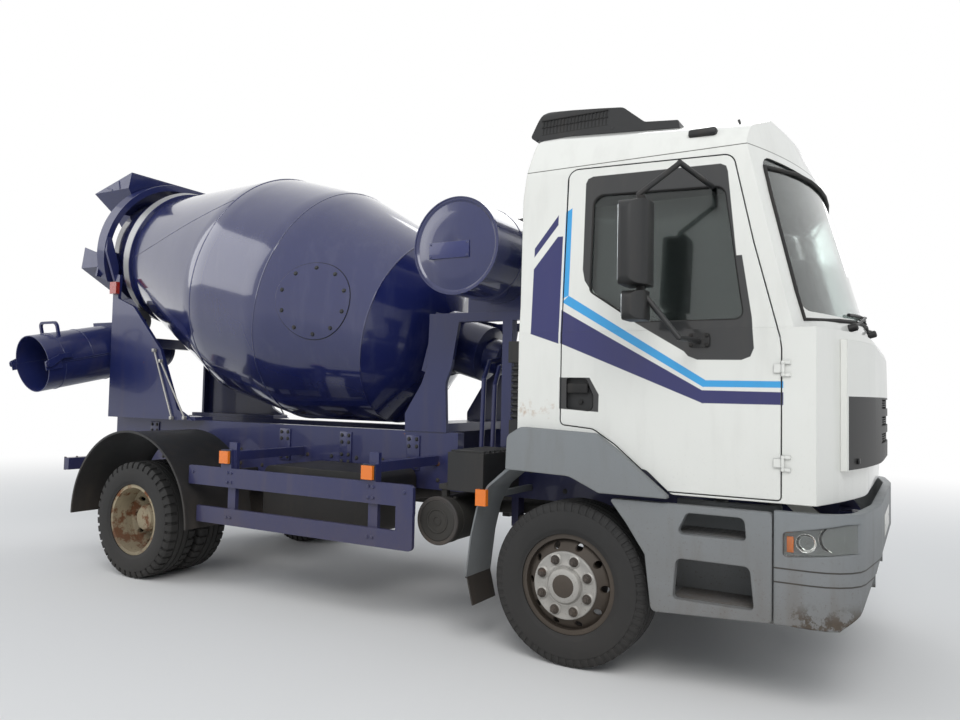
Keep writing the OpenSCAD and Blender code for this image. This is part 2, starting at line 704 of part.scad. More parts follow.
// Front pedestal: two side plates and the cross plate that carries the drum's drive
stand_rows = [
    [-1520, deck_z + seat_gap], [-1180, deck_z + seat_gap], [-1195, 1490, 120],
    [-1150, 1590, 120], [-1095, 1905], [-1335, 1905], [-1345, 1600, 100], [-1390, 1480, 100],
    [-1525, 1270, 40]
];
drive_flange_s = -150;
module front_pedestal() color(navy) placed() {
    both() {
        side_plate(stand_rows, rail_out - 22, rail_out + 8);
        // Beam and saddle under the water tank, and the post in front of them
        block([-1335, rail_out - 60, 1900], [tank_x + 240, rail_out + 8, 1960]);
        difference() {
            block([tank_x - 230, rail_out - 60, 1955], [tank_x + 230, rail_out, 2110]);
            bar_y(tank_r + seat_gap, tank_x, tank_z, 300, 500);
        }
        block([tank_x + 40, rail_out - 60, 1080], [tank_x + 110, rail_out + 8, 1905]);
        block([tank_x + 40, rail_out - 60, rail_top + seat_gap], [tank_x + 110, rail_out, 1082]);
    }
    difference() {
        on_drum()
        translate([-210, -rail_out + 20, drive_flange_s - 34])
        cube([420, 2 * rail_out - 40, 34]);
        on_drum()
        translate([0, 0, drive_flange_s - 100])
        cylinder(r = 200 + seat_gap, h = 200);
    }
    block([-1505, -rail_out + 20, deck_z + seat_gap], [-1200, rail_out - 20, deck_z + 60]);
}

// Hoses from the hydraulic motor down to the rails, as rows of points
hose_r = 16;
hose_paths = [
    [[-980, -60, 1660], [-960, -250, 1640], [-930, -372, 1520], [-930, -392, rail_top + 3]],
    [[-900, -50, 1640], [-870, -270, 1600], [-846, -372, 1480], [-846, -392, rail_top + 3]]
];
// Drive: the gearbox that turns the drum and the hydraulic motor in front of it
module drum_drive() color("#2c2f36") placed() {
    for (path = hose_paths)
    for (k = [0:2]) rod(path[k], path[k + 1] + (k < 2 ? 9 : 0) * unit(path[k + 1] - path[k]), hose_r);
    drive_case();
}
module drive_case() on_drum()
rotate_extrude()
polygon([
    [0, -760], [78, -760], [84, -700], [84, -560], [120, -540], [128, -430], [200, -410],
    [200, drive_flange_s + 20], [240, drive_flange_s + 20], [240, drive_flange_s + 58],
    [0, drive_flange_s + 58]
]);

// Rear pedestal: side plates, the collar round the drum's mouth and the rollers' cheeks
rear_stand = [
    [stand_rear, deck_z + seat_gap], [ring_x + 830, deck_z + seat_gap],
    [ring_x + 640, deck_z + 90, 40], [ring_x + 400, 1740, 80], [ring_x + 20, 2120, 60],
    [ring_x - 200, 2200, 20], [ring_x - 180, ring_z - 200, 20], [stand_rear, ring_z - 200]
];
stand_y = 528;
roller_turn = 32;
roller_place = ring_r + roller_r + seat_gap;
roller_up = -roller_place * cos(roller_turn);
roller_y = roller_place * sin(roller_turn);
roller_pin_r = 24;
cheek_t = 14;
collar_r = ring_r - 18;
collar_s = mouth_s - 150;
module rear_pedestal() color(navy) placed() {
    both() {
        side_plate(rear_stand, stand_y, stand_y + 30);
        // Floor flange and the flange down the back edge
        block([stand_rear, rail_out - 80, deck_z + seat_gap],
              [ring_x + 830, stand_y + 1, deck_z + 30]);
        block([stand_rear, stand_y - 60, deck_z + 1], [stand_rear + 26, stand_y + 1, 1810]);
        // Arm from the plate's top out to the hood's flange
        front_plate([
            [stand_y + 2, 2354], [stand_y + 32, 2354], [collar_r + 48, 2610],
            [collar_r + 48, 2740], [collar_r + 6, 2740], [stand_y + 2, 2500]
        ], stand_rear, stand_rear + 26);
        // Seat of the rear cheek on the beam
        block([stand_rear - 4, roller_y - 54, 1844], [stand_rear + 68, roller_y + 54, 1865]);
        // Cheeks on both sides of the roller, with the holes for its shaft
        on_drum()
        for (side = [-1, 1])
        translate([0, roller_y, ring_s + side * (ring_w / 2 + 22) - cheek_t / 2])
        difference() {
            translate([roller_up - 202 + 12 * side, -54, 0]) cube([244 - 12 * side, 108, cheek_t]);
            translate([roller_up, 0, -1])
            cylinder(r = roller_pin_r + pin_fit, h = cheek_t + 2);
        }
    }
    // Beam under the rollers, between the side plates
    block([stand_rear + 66, -stand_y - 1, 1780], [stand_rear + 170, stand_y + 1, 1866]);
    // Hood round the upper part of the drum's mouth
    on_drum()
    intersection() {
        rotate_extrude()
        polygon([
            [collar_r, collar_s], [collar_r + 54, collar_s], [collar_r + 54, collar_s + 8],
            [collar_r + 8, collar_s + 8], [collar_r + 8, mouth_s + 30],
            [mouth_r + 38, mouth_s + 30], [mouth_r + 38, mouth_s + 22],
            [collar_r, mouth_s + 22]
        ]);
        translate([-340, -800, collar_s - 10]) cube([1200, 1600, 300]);
    }
}

// Rollers under the running ring, each on its own shaft
module roller(side) {
    on_drum()
    translate([roller_up, side * roller_y, ring_s]) {
        translate([0, 0, -ring_w / 2 - 12]) cylinder(r = roller_r, h = ring_w + 24);
        translate([0, 0, -ring_w / 2 - 40]) cylinder(r = roller_pin_r, h = ring_w + 80);
    }
}
module roller_right() color("#8d8f92") placed() roller(-1);
module roller_left() color("#8d8f92") placed() roller(1);

// Drum: a hollow shell of cones with its running ring and the access hatch on its belly
seam_rows = [[20, 0.478], [200, 0.75], [1025, 0.99], [1716, 1]];
hatch_r = 270;
hatch_t = 6;
function seam_r(k) = drum_r * seam_rows[k][1];
function seam_outer(d) = [for (row = seam_rows) [drum_r * row[1] - d, row[0] + 0.4 * d]];
module drum() color(navy) placed() on_drum() {
    outer = seam_outer(0);
    inner = seam_outer(drum_wall);
    rotate_extrude($fn = 72)
    polygon([
        [0, drive_flange_s + 58 + seat_gap], [232, drive_flange_s + 58 + seat_gap],
        [238, drive_flange_s + 90], each outer, [mouth_r, mouth_s],
        [mouth_r - drum_wall, mouth_s],
        for (k = [3:-1:0]) inner[k],
        [230, drive_flange_s + 94 + drum_wall], [0, drive_flange_s + 94 + drum_wall]
    ]);
    rotate_extrude($fn = 72)
    translate([mouth_r + 60, ring_s - ring_w / 2])
    square([ring_r - mouth_r - 60, ring_w]);
    // Round hatch on the front cone's right side
    intersection() {
        rotate_extrude($fn = 72)
        polygon([
            [seam_r(1) + hatch_t, seam_rows[1][0]], [seam_r(2) + hatch_t, seam_rows[2][0]],
            [seam_r(2) - 4, seam_rows[2][0]], [seam_r(1) - 4, seam_rows[1][0]]
        ]);
        translate([70, 0, 610]) rotate([90, 0, 0]) cylinder(r = hatch_r, h = drum_r + 10);
    }
}

// Water tank across the truck, with dished ends and raised rims
module water_tank() color(navy) placed() {
    h = tank_l / 2;
    turned_y([
        [-h + 10, 0], [-h, 60], [-h + 8, 190], [-h + 30, tank_r - 24], [-h + 22, tank_r - 12],
        [-h + 22, tank_r], [h - 22, tank_r], [h - 22, tank_r - 12], [h - 30, tank_r - 24],
        [h - 8, 190], [h, 60], [h - 10, 0]
    ], tank_x, 0, tank_z);
    translate([tank_x, 0, tank_z]) cylinder(r = 70, h = tank_r + 34);
}

// Hopper above the mouth and the funnel below it that leads to the chute
funnel_t = 7;
outlet_z = 2105;
hopper_side = [
    [mouth_x + 76, mouth_z + 13], [mouth_x + 136, mouth_z + 293], [mouth_x + 56, mouth_z + 373],
    [mouth_x + 136, mouth_z + 653], [mouth_x - hopper_back, mouth_z + 513], [mouth_x - 224, mouth_z + 133]
];
hopper_front = [
    [-150, mouth_z], [150, mouth_z], [258, mouth_z + 320], [420, mouth_z + 513],
    [420, mouth_z + 700], [-420, mouth_z + 700], [-420, mouth_z + 513], [-258, mouth_z + 320]
];
hopper_room = [
    [mouth_x + 96, mouth_z - 10], [mouth_x + 156, mouth_z + 293], [mouth_x + 56 - funnel_t,
    mouth_z + 376], [mouth_x + 156 - funnel_t, mouth_z + 726], [mouth_x - 434 + funnel_t,
    mouth_z + 576], [mouth_x - 222 + funnel_t, mouth_z + 142], [mouth_x - 20, mouth_z + 22]
];
collector_side = [
    [chute_x + 125, outlet_z], [chute_x + 36, outlet_z + 130], [chute_x - 44, outlet_z + 160],
    [mouth_x - 71, mouth_z - 107], [chute_x - 170, mouth_z - 30], [chute_x - 212, mouth_z - 220],
    [chute_x - 120, outlet_z]
];
collector_front = [
    [-160, outlet_z - 1], [160, outlet_z - 1], [170, outlet_z + 150], [560, outlet_z + 400],
    [560, mouth_z], [-560, mouth_z], [-560, outlet_z + 400], [-170, outlet_z + 150]
];
collector_room = [
    [chute_x + 125 - funnel_t, outlet_z - 9], [chute_x + 30, outlet_z + 122],
    [chute_x + 24, outlet_z + 160], [mouth_x, mouth_z + 30], [chute_x - 160, mouth_z + 30],
    [chute_x - 205, mouth_z - 219], [chute_x - 113, outlet_z - 9]
];
module hopper() color(navy) placed() {
    difference() {
        intersection() {
            side_plate(hopper_side, -500, 500);
            front_plate(hopper_front, mouth_x - 500, mouth_x + 300);
        }
        intersection() {
            side_plate(hopper_room, -500, 500);
            front_plate([for (row = inset(hopper_front, funnel_t))
                row[1] < mouth_z + 20 ? [row[0], mouth_z - 20] : [row[0], row[1] > mouth_z + 600
                ? mouth_z + 800 : row[1]]], mouth_x - 500, mouth_x + 300);
        }
    }
    // Feet that bolt the hopper and the funnel to the hood
    both()
    on_drum() {
        translate([272, 240, mouth_s + 30 + seat_gap]) cube([110, 200, 14]);
        translate([-330, 440, mouth_s + 30 + seat_gap]) cube([120, 117, 22]);
    }
    difference() {
        intersection() {
            side_plate(collector_side, -700, 700);
            front_plate(collector_front, chute_x - 300, chute_x + 300);
        }
        intersection() {
            side_plate(collector_room, -700, 700);
            front_plate([for (row = inset(collector_front, funnel_t))
                row[1] < outlet_z + 20 ? [row[0], outlet_z - 20] : [row[0], row[1] > mouth_z - 60
                ? mouth_z + 60 : row[1]]], chute_x - 300, chute_x + 300);
        }
        on_drum() translate([0, 0, mouth_s - 60]) cylinder(r = mouth_r, h = 200);
    }
}

// Chute: a swivel post, the main trough and the extension folded over it
swivel_low = 850;
swivel_high = 1300;
tilt_z = 1520;
tilt_arm = 300;
tilt_pin_r = 18;
chute_wall = 7;
fold_x = chute_l + 12;
lug_y = chute_r + 6;
hoop_x = 850;
// The children, drawn along +X from the tilting pin, laid in their stowed place
module on_chute() {
    translate([chute_x, 0, tilt_z])
    rotate([0, 0, -90])
    rotate([0, chute_slope, 0])
    translate([0, 0, tilt_arm])
    children();
}
module half_tube(x0, x1, turn) {
    translate([x0, 0, 0])
    rotate([90, 0, 90])
    rotate([0, 0, turn])
    linear_extrude(x1 - x0)
    difference() {
        circle(r = chute_r);
        circle(r = chute_r - chute_wall);
        translate([-chute_r - 1, 0]) square([2 * chute_r + 2, chute_r + 2]);
    }
}
module chute_swivel() color(navy) placed() {
    translate([chute_x, 0, swivel_low + 10])
    cylinder(r = swivel_r, h = swivel_high - swivel_low + 2);
    translate([chute_x, 0, swivel_high + 2]) cylinder(r = swivel_r + 34, h = 40);
    translate([chute_x, 0, 0]) {
        block([-58, -50, swivel_high + 30], [58, 50, tilt_z]);
        translate([-58, 0, tilt_z]) rotate([0, 90, 0]) cylinder(r = 50, h = 116);
        translate([-90, 0, tilt_z]) rotate([0, 90, 0]) cylinder(r = tilt_pin_r, h = 180);
    }
}
module chute_main() color(navy) placed() on_chute() {
    half_tube(-200, chute_l, 0);
    // Closed inner end
    intersection() {
        half_tube_end();
        translate([-206, -chute_r, -chute_r - 1]) cube([12, 2 * chute_r, chute_r + 0.8]);
    }
    // Lugs on the tilting pin
    for (side = [-1, 1])
    difference() {
        translate([0, side * 75 + 12, 0])
        rotate([90, 0, 0])
        linear_extrude(24)
        polygon(rounded([
            [-120, -chute_r + 20], [-110, -chute_r - 8, 20], [-44, -tilt_arm - 40, 40],
            [44, -tilt_arm - 40, 40], [110, -chute_r - 8, 20], [120, -chute_r + 20]
        ]));
        translate([0, side * 75 + 20, -tilt_arm])
        rotate([90, 0, 0])
        cylinder(r = tilt_pin_r + pin_fit, h = 40);
    }
    // Hinge lugs for the extension, with their pins
    for (side = [-1, 1]) {
        translate([chute_l - 110, side * (chute_r + 3) - 7, -50])
        cube([110, 14, 48]);
        translate([chute_l - 110, side * (chute_r + 6) - 4, -50])
        cube([142, 8, 76]);
        translate([fold_x, side * (chute_r + 16) - 17, 0])
        rotate([-90, 0, 0])
        cylinder(r = 10, h = 34);
    }
}
module half_tube_end() {
    translate([-200, 0, 0]) rotate([0, -90, 0]) cylinder(r = chute_r, h = 6);
}
module chute_extension() color(navy) placed() on_chute() {
    translate([0, 0, 0.3]) half_tube(250, chute_l - 6, 180);
    // Strap hinges outside the main chute's lugs
    for (side = [-1, 1])
    difference() {
        union() {
            translate([chute_l - 200, side * (chute_r + 24) - 6, 30]) cube([120, 12, 40]);
            translate([chute_l - 200, side * (chute_r + 12) - 18, 40]) cube([60, 36, 30]);
            translate([0, side * (chute_r + 24) + 6, 0])
            rotate([90, 0, 0])
            linear_extrude(12)
            polygon(rounded([
                [chute_l - 120, 30], [fold_x - 20, -24, 20], [fold_x + 26, -24, 20],
                [fold_x + 26, 26, 20], [chute_l - 100, 70]
            ]));
        }
        translate([fold_x, side * (chute_r + 24) - 20, 0])
        rotate([-90, 0, 0])
        cylinder(r = 10 + pin_fit, h = 40);
    }
    // Hoop handle near the hinged end, and the cross bar that the extension is lifted by
    translate([hoop_x, 0, 0])
    rotate([90, 0, 90])
    linear_extrude(22)
    difference() {
        polygon(rounded([[-130, 150], [-130, 340, 50], [130, 340, 50], [130, 150]]));
        polygon(rounded([[-108, 140], [-108, 318, 28], [108, 318, 28], [108, 140]]));
        circle(r = chute_r - 3);
    }
    translate([330, -chute_r * 0.6, chute_r * 0.78])
    cube([26, chute_r * 1.2, chute_r * 0.4 - 20]);
}

// Cab: a hollow shell, from the side outline, the front outline and the curve of the screen
cab_rear = -284;
floor_step = 430;
body_side = [
    [cab_rear, 1062, 40], [floor_step, 1062, 60], [floor_step + 130, cab_bottom, 40],
    [cab_front - 36, cab_bottom, 20], [cab_front, 1340, 300], [cab_front - 14, 1690, 60],
    [1400, cowl_z, 40], [cab_rear, cowl_z]
];
body_plan = [
    [cab_rear, -side_y], [cab_front, -side_y, 230], [cab_front, side_y, 230], [cab_rear, side_y]
];
screen_x = 1336;
screen_lean = 15.6;
roof_fall = 4.5;
front_r = 3200;
house_side = [
    [cab_rear, 1560], [screen_x, 1560], [screen_x, cowl_z + 90, 60], [1296, 2040, 500],
    [1112, 2668, 260], [1030, 2795, 160], [920, 2862, 160], [560, roof_z, 200],
    [-160, roof_z, 100], [-262, roof_z - 90, 100], [-300, 2500, 200], [cab_rear, 1900, 300]
];
roof_side_y = side_y - 66;
house_front = [
    [-side_y, 1560], [side_y, 1560], [side_y, 1720, 300], [roof_side_y, 2650, 200],
    [side_y - 150, roof_z - 110, 140], [690, roof_z, 160], [-690, roof_z, 160],
    [-side_y + 150, roof_z - 110, 140], [-roof_side_y, 2650, 200], [-side_y, 1720, 300]
];
// The roof seen from the front, which falls towards the screen
roof_front = [
    [-side_y - 170, 1560], [side_y + 170, 1560], [side_y + 170, 2440],
    [side_y - 150, roof_z - 110, 140], [690, roof_z, 160], [-690, roof_z, 160],
    [-side_y + 150, roof_z - 110, 140], [-side_y - 170, 2440]
];
// Room behind the front's gentle curve in plan, with the curve moved back by d
module front_curve(d) {
    translate([cab_front - front_r, 0, 500]) cylinder(r = front_r - d, h = 1600, $fn = 240);
}
// The cab's lower body, with every face moved inwards by d
module cab_body(d) {
    intersection() {
        side_plate(inset(body_side, d), -side_y, side_y);
        plan_plate(inset(body_plan, d), 900, 1900);
        front_curve(d);
    }
}
// The cab's upper part, with every face moved inwards by d
module cab_house(d) {
    intersection() {
        side_plate(inset(house_side, d), -side_y, side_y);
        front_plate(inset(house_front, d), cab_rear - 50, cab_front);
        translate([-160, 0, roof_z])
        rotate([0, roof_fall, 0])
        translate([160, 0, -roof_z])
        front_plate(inset(roof_front, d), cab_rear - 300, cab_front + 300);
        translate([screen_x, 0, 1850])
        rotate([0, -screen_lean, 0])
        translate([-screen_r, 0, -1400])
        cylinder(r = screen_r - d, h = 3200, $fn = 180);
    }
}
module cab_walls() {
    difference() {
        union() {
            cab_body(0);
            cab_house(0);
        }
        cab_body(cab_wall);
        cab_house(cab_wall);
    }
}
// Door outlines in the side view, and the opening for its glass
door_front = 1065;
door_rear = -36;
door_rows = [
    [door_rear, 1262, 30], [150, 1246, 60], [268, 1172, 60], [528, 957, 60], [door_front, 957, 20],
    [door_front, 1680, 200], [935, 2160, 300], [832, 2606, 60], [door_rear, 2636, 60]
];
window_rows = [
    [112, 1960, 40], [370, 1790, 60], [900, 1790, 40], [880, 1900, 20], [795, 2452, 60],
    [112, 2480, 60]
];
// The part of the space beside the cab that a door's thickness fills
module wall_band(d) {
    front_plate([
        [side_y - cab_wall + d, 900], [side_y + 60, 900], [side_y + 60, 2700],
        [roof_side_y - cab_wall - 4 + d, 2700], [side_y - cab_wall + d, 1730]
    ], -400, 1400);
}
hinge_x = door_front + 4;
hinge_y = side_y + 9;
hinge_r = 8;
hinge_pin_r = 4;
hinge_half = 20;
hinge_rows = [1130, 1560];
// Half of a door hinge: barrels from low to high on the hinge line, with a leaf to one side
module hinge_leaf(z, low, high, reach) {
    translate([hinge_x, hinge_y, z + low]) cylinder(r = hinge_r, h = high - low);
    block([min(hinge_x, hinge_x + reach), side_y + 1, z + low],
          [max(hinge_x, hinge_x + reach), hinge_y, z + high]);
    near = hinge_x + sign(reach) * 16;
    block([min(near, hinge_x + reach), side_y - 4, z + low],
          [max(near, hinge_x + reach), side_y + 2, z + high]);
}
screen_rows = [
    [-1040, 1836, 80], [1040, 1836, 80], [985, 2606, 90], [-985, 2606, 90]
];
back_window = [[-430, 2060, 60], [430, 2060, 60], [430, 2480, 60], [-430, 2480, 60]];
tunnel_y = 400;
tunnel_z = 1330;
cab_pad_z = 1062;
module cab_shell() color(white) placed() {
    difference() {
        union() {
            cab_walls();
            block([cab_rear + 10, -tunnel_y, 1070], [830, tunnel_y, tunnel_z]);
            block([360, -rail_out - 140, cab_bottom + 10], [1320, rail_out + 140, rail_top + 74]);
        }
        both()
        intersection() {
            side_plate(door_rows, 900, 1300);
            wall_band(0);
        }
        front_plate(screen_rows, 900, 1500);
        front_plate(back_window, cab_rear - 60, cab_rear + cab_wall + 60);
        // Tunnel over the engine, and the channel over the frame's front end
        block([cab_rear - 60, -tunnel_y + 40, 900], [790, tunnel_y - 40, tunnel_z - 40]);
        block([floor_step - 80, -rail_out - 90, 800], [1290, rail_out + 90, rail_top + 24]);
    }
    // The cab's halves of the door hinges, with their pins
    both()
    for (z = hinge_rows) {
        hinge_leaf(z, hinge_half + seat_gap, hinge_half + 16, 34);
        hinge_leaf(z, -hinge_half - 16, -hinge_half - seat_gap, 34);
        translate([hinge_x, hinge_y, z - hinge_half - 10])
        cylinder(r = hinge_pin_r, h = 2 * hinge_half + 20);
    }
    // Arms down to the tilting pivot
    both()
    difference() {
        union() {
            side_plate([
                [pivot_x - 30, pivot_z - 40], [pivot_x + 4, pivot_z + 40],
                [930, rail_top + 40], [800, rail_top + 40]
            ], arm_in, arm_out);
            bar_y(48, pivot_x, pivot_z, arm_in, arm_out);
        }
        bar_y(pivot_r + pin_fit, pivot_x, pivot_z, arm_in - 10, arm_out + 10);
    }
}
// Front lid below the windscreen, hinged along its top edge
lid_out = 30;
lid_rows = [
    [cab_front - 200, 1085, 0], [cab_front + 26, 1100, 20], [cab_front + 30, 1340, 300],
    [cab_front + 16, 1660, 40], [cab_front - 6, 1706], [cab_front - 200, 1706]
];
module front_lid() color(white) placed() {
    difference() {
        intersection() {
            side_plate(lid_rows, -900, 900);
            front_curve(-lid_out);
        }
        front_curve(-seat_gap);
        // Slots of the grille
        for (k = [0:2])
        block([cab_front + 14, -640, 1200 + 90 * k], [cab_front + 60, 640, 1250 + 90 * k]);
    }
}
module cab_glass() color("#5b6b70") placed() {
    intersection() {
        difference() {
            cab_house(10);
            cab_house(10 + glass_t);
        }
        union() {
            front_plate(inset(screen_rows, seat_gap), 900, 1500);
            front_plate(inset(back_window, seat_gap), cab_rear - 60, cab_rear + cab_wall + 60);
        }
    }
}
module door() {
    difference() {
        intersection() {
            cab_walls();
            side_plate(inset(door_rows, door_gap), 900, 1300);
            wall_band(4);
            translate([hinge_x, hinge_y, 900])
            cylinder(r = hinge_x - door_rear - door_gap, h = 1800, $fn = 120);
        }
        side_plate(window_rows, 900, 1300);
        // Recess of the handle
        side_plate([
            [0, 1350, 10], [150, 1335, 30], [150, 1420, 30], [110, 1510, 30], [0, 1510, 10]
        ], side_y - 22, side_y + 20);
    }
    for (z = hinge_rows)
    difference() {
        hinge_leaf(z, -hinge_half, hinge_half, -40);
        translate([hinge_x, hinge_y, z - hinge_half - 1])
        cylinder(r = hinge_pin_r + pin_fit, h = 2 * hinge_half + 2);
    }
}
module door_glass() {
    intersection() {
        difference() {
            cab_house(14);
            cab_house(14 + glass_t);
        }
        side_plate(inset(window_rows, seat_gap), 900, 1300);
        front_plate([[900, 1700], [1300, 1700], [1300, 2600], [900, 2600]], -200, 1300);
    }
}
module door_right() color(white) placed() right() door();
module door_left() color(white) placed() door();
module door_glass_right() color("#5b6b70") placed() right() door_glass();
module door_glass_left() color("#5b6b70") placed() door_glass();

// Mirrors on their bent tubes, in front of each door
mirror_y = 1420;
module door_mirror() {
    arm = [
        [736, side_y - 52, 2448], [664, mirror_y - 20, 2490], [478, mirror_y, 2360],
        [500, mirror_y, 1900], [664, mirror_y - 20, 1690], [690, side_y + 8, 1690]
    ];
    difference() {
        for (k = [0:4]) rod(arm[k], arm[k + 1] + 9 * unit(arm[k + 1] - arm[k]), 13);
        cab_house(-seat_gap);
        cab_body(-seat_gap);
    }
    side_plate([[640, 1660, 20], [740, 1660, 20], [740, 1730, 20], [640, 1730, 20]],
               side_y + seat_gap, side_y + 12);
    // The small wide-angle mirror on the tube, and the housing above it
    intersection() {
        plan_plate([
            [425, mirror_y - 90, 20], [470, mirror_y - 90, 40], [525, mirror_y - 50, 50],
            [525, mirror_y + 50, 50], [470, mirror_y + 90, 40], [425, mirror_y + 90, 20]
        ], 1770, 1905);
        front_plate([
            [mirror_y - 90, 1770, 36], [mirror_y + 90, 1770, 36],
            [mirror_y + 90, 1905, 36], [mirror_y - 90, 1905, 36]
        ], 300, 700);
    }
    intersection() {
        plan_plate([
            [415, mirror_y - 110, 20], [470, mirror_y - 110, 40], [540, mirror_y - 60, 60],
            [540, mirror_y + 70, 60], [470, mirror_y + 120, 40], [415, mirror_y + 120, 20]
        ], 1930, 2320);
        front_plate([
            [mirror_y - 110, 1930, 40], [mirror_y + 120, 1930, 40],
            [mirror_y + 120, 2320, 40], [mirror_y - 110, 2320, 40]
        ], 300, 700);
    }
}
module mirror_right() color(black) placed() right() door_mirror();
module mirror_left() color(black) placed() door_mirror();

// Fenders below the doors, over the front wheels
module cab_fenders() color(grey) placed() both() {
    side_plate([
        [-328, 1016, 10], [40, 1004, 100], [205, 931], [550, 931], [548, 944, 10],
        [292, 1150, 60], [180, 1228, 50], [-240, 1246, 40], [-322, 1196, 40]
    ], side_y + seat_gap, side_y + 50);
    side_plate([
        [-328, 1016], [40, 1004, 100], [205, 931], [215, 940], [46, 1016, 100], [-328, 1028]
    ], 850, side_y + 10);
}

// Dashboard with the steering column and wheel, on the truck's right
wheel_y = -520;
module dashboard() color("#3b3d40") placed() {
    intersection() {
        side_plate([
            [1030, 1340, 40], [1500, 1340], [1500, 1698], [1020, 1698, 60], [950, 1570, 60]
        ], -1060, 1060);
        cab_body(cab_wall + seat_gap);
    }
    rod([1030, wheel_y, 1420], [784, wheel_y, 1648], 34);
    translate([780, wheel_y, 1652])
    rotate([0, -47, 0]) {
        rotate_extrude($fn = 36) translate([215, 0]) circle(r = 16, $fn = 16);
        translate([0, 0, -14]) cylinder(r = 60, h = 26);
        for (turn = [0, 120, 240])
        rotate([0, 0, turn])
        translate([40, -16, -9])
        cube([166, 32, 16]);
    }
}
seat_y = 560;
module seats() color("#45474b") placed() both() {
    block([40, seat_y - 130, 1110 + seat_gap], [520, seat_y + 190, 1361 - seat_gap]);
    side_plate([[20, 1361, 20], [580, 1361, 40], [590, 1480, 50], [60, 1470, 30]],
               seat_y - 230, seat_y + 250);
    side_plate([[60, 1440, 30], [90, 1480, 30], [0, 2080, 40], [-110, 2060, 40], [-60, 1440, 30]],
               seat_y - 220, seat_y + 240);
}

// Cooling unit on the roof
module roof_unit() color(black) placed() {
    difference() {
        intersection() {
            side_plate([
                [-430, roof_z + 4, 20], [-200, roof_z - 70], [480, roof_z - 80],
                [470, roof_z - 24, 10], [280, roof_z - 4, 40], [150, roof_z + 104, 60],
                [-350, roof_z + 170, 50]
            ], -770, 770);
            front_plate([
                [-750, roof_z - 90, 10], [750, roof_z - 90, 10], [730, roof_z + 180, 90],
                [-730, roof_z + 180, 90]
            ], -500, 500);
        }
        cab_house(-seat_gap);
    }
}

frame();
axles();
leaf_springs();
powertrain();
tanks();
silencer();
bumper();
lamps();
cab_steps();
side_guards();
mudguards();
front_pedestal();
rear_pedestal();
drum_drive();
water_tank();
hopper();
roller_right();
roller_left();
knuckle_right();
knuckle_left();
track_rod();
rim_front_right();
rim_front_left();
tyre_front_right();
tyre_front_left();
rims_rear_right();
rims_rear_left();
tyres_rear_right();
tyres_rear_left();
cab_shell();
front_lid();
cab_glass();
cab_fenders();
dashboard();
seats();
roof_unit();
door_right();
door_left();
door_glass_right();
door_glass_left();
mirror_right();
mirror_left();
drum();
chute_swivel();
chute_main();
chute_extension();
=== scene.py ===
import logging
import math
from dataclasses import dataclass
from enum import Enum
from typing import Callable, Iterable, Sequence

import bmesh
import bpy
from mathutils import Matrix, Vector


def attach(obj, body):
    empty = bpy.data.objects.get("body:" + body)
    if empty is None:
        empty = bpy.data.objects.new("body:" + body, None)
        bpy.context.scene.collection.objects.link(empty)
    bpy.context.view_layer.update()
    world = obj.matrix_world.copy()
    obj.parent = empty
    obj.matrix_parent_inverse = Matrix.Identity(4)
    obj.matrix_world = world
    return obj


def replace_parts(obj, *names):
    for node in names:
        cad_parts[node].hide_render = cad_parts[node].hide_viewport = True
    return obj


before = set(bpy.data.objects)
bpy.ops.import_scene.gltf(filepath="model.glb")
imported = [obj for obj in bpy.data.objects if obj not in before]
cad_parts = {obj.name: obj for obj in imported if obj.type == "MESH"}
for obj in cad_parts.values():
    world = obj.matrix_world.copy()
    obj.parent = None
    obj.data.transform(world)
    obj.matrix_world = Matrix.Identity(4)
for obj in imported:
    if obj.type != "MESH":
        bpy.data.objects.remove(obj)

LOG = logging.getLogger("mixer_truck")
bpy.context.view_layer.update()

Point = tuple[float, float, float]
Flat = tuple[float, float]
Colour = tuple[float, float, float]
Socket = bpy.types.NodeSocket

# The front axle's place along the truck. Tables below count from it, in metres.
AXLE_X = 1.877808
# The cab's wall below the windows, as a distance from the truck's middle
SIDE_Y = 1.130
# The wheels' middles above the ground
AXLE_Z = 0.430
WHEELBASE = 3.480
# The drum's axis: how far it leans back, where its front end is, and its direction
DRUM_TILT = math.radians(15.5)
DRUM_START = Vector((AXLE_X - 1.5, 0.0, 1.813))
DRUM_LINE = Vector((-math.cos(DRUM_TILT), 0.0, math.sin(DRUM_TILT)))


def tint(code: str) -> Colour:
    """Turns a colour as it is seen into the light values that a shader takes.

    Args:
        code: Six hexadecimal digits, as in "1b2050".

    Returns:
        Linear red, green and blue.
    """
    parts = [int(code[at:at + 2], 16) / 255.0 for at in (0, 2, 4)]
    return tuple(v / 12.92 if v <= 0.04045 else ((v + 0.055) / 1.055) ** 2.4 for v in parts)


def at_axle(x: float) -> float:
    """A place along the truck, counted from the front axle.

    Args:
        x: Metres forward of the front axle.

    Returns:
        The place along X in the shared frame.
    """
    return x + AXLE_X


class Side(Enum):
    """The two sides of the truck, with the sign of Y."""

    RIGHT = -1
    LEFT = 1

    @property
    def word(self) -> str:
        """The side's name as bodies and nodes spell it."""
        return self.name.lower()

    @property
    def out(self) -> Vector:
        """The direction that points away from the truck."""
        return Vector((0.0, self.value, 0.0))

    def span(self, near: float, far: float) -> list[float]:
        """Turns two distances from the truck's middle into places along Y.

        Args:
            near: The first distance.
            far: The second.

        Returns:
            Both places, the lower first.
        """
        return sorted((self.value * near, self.value * far))


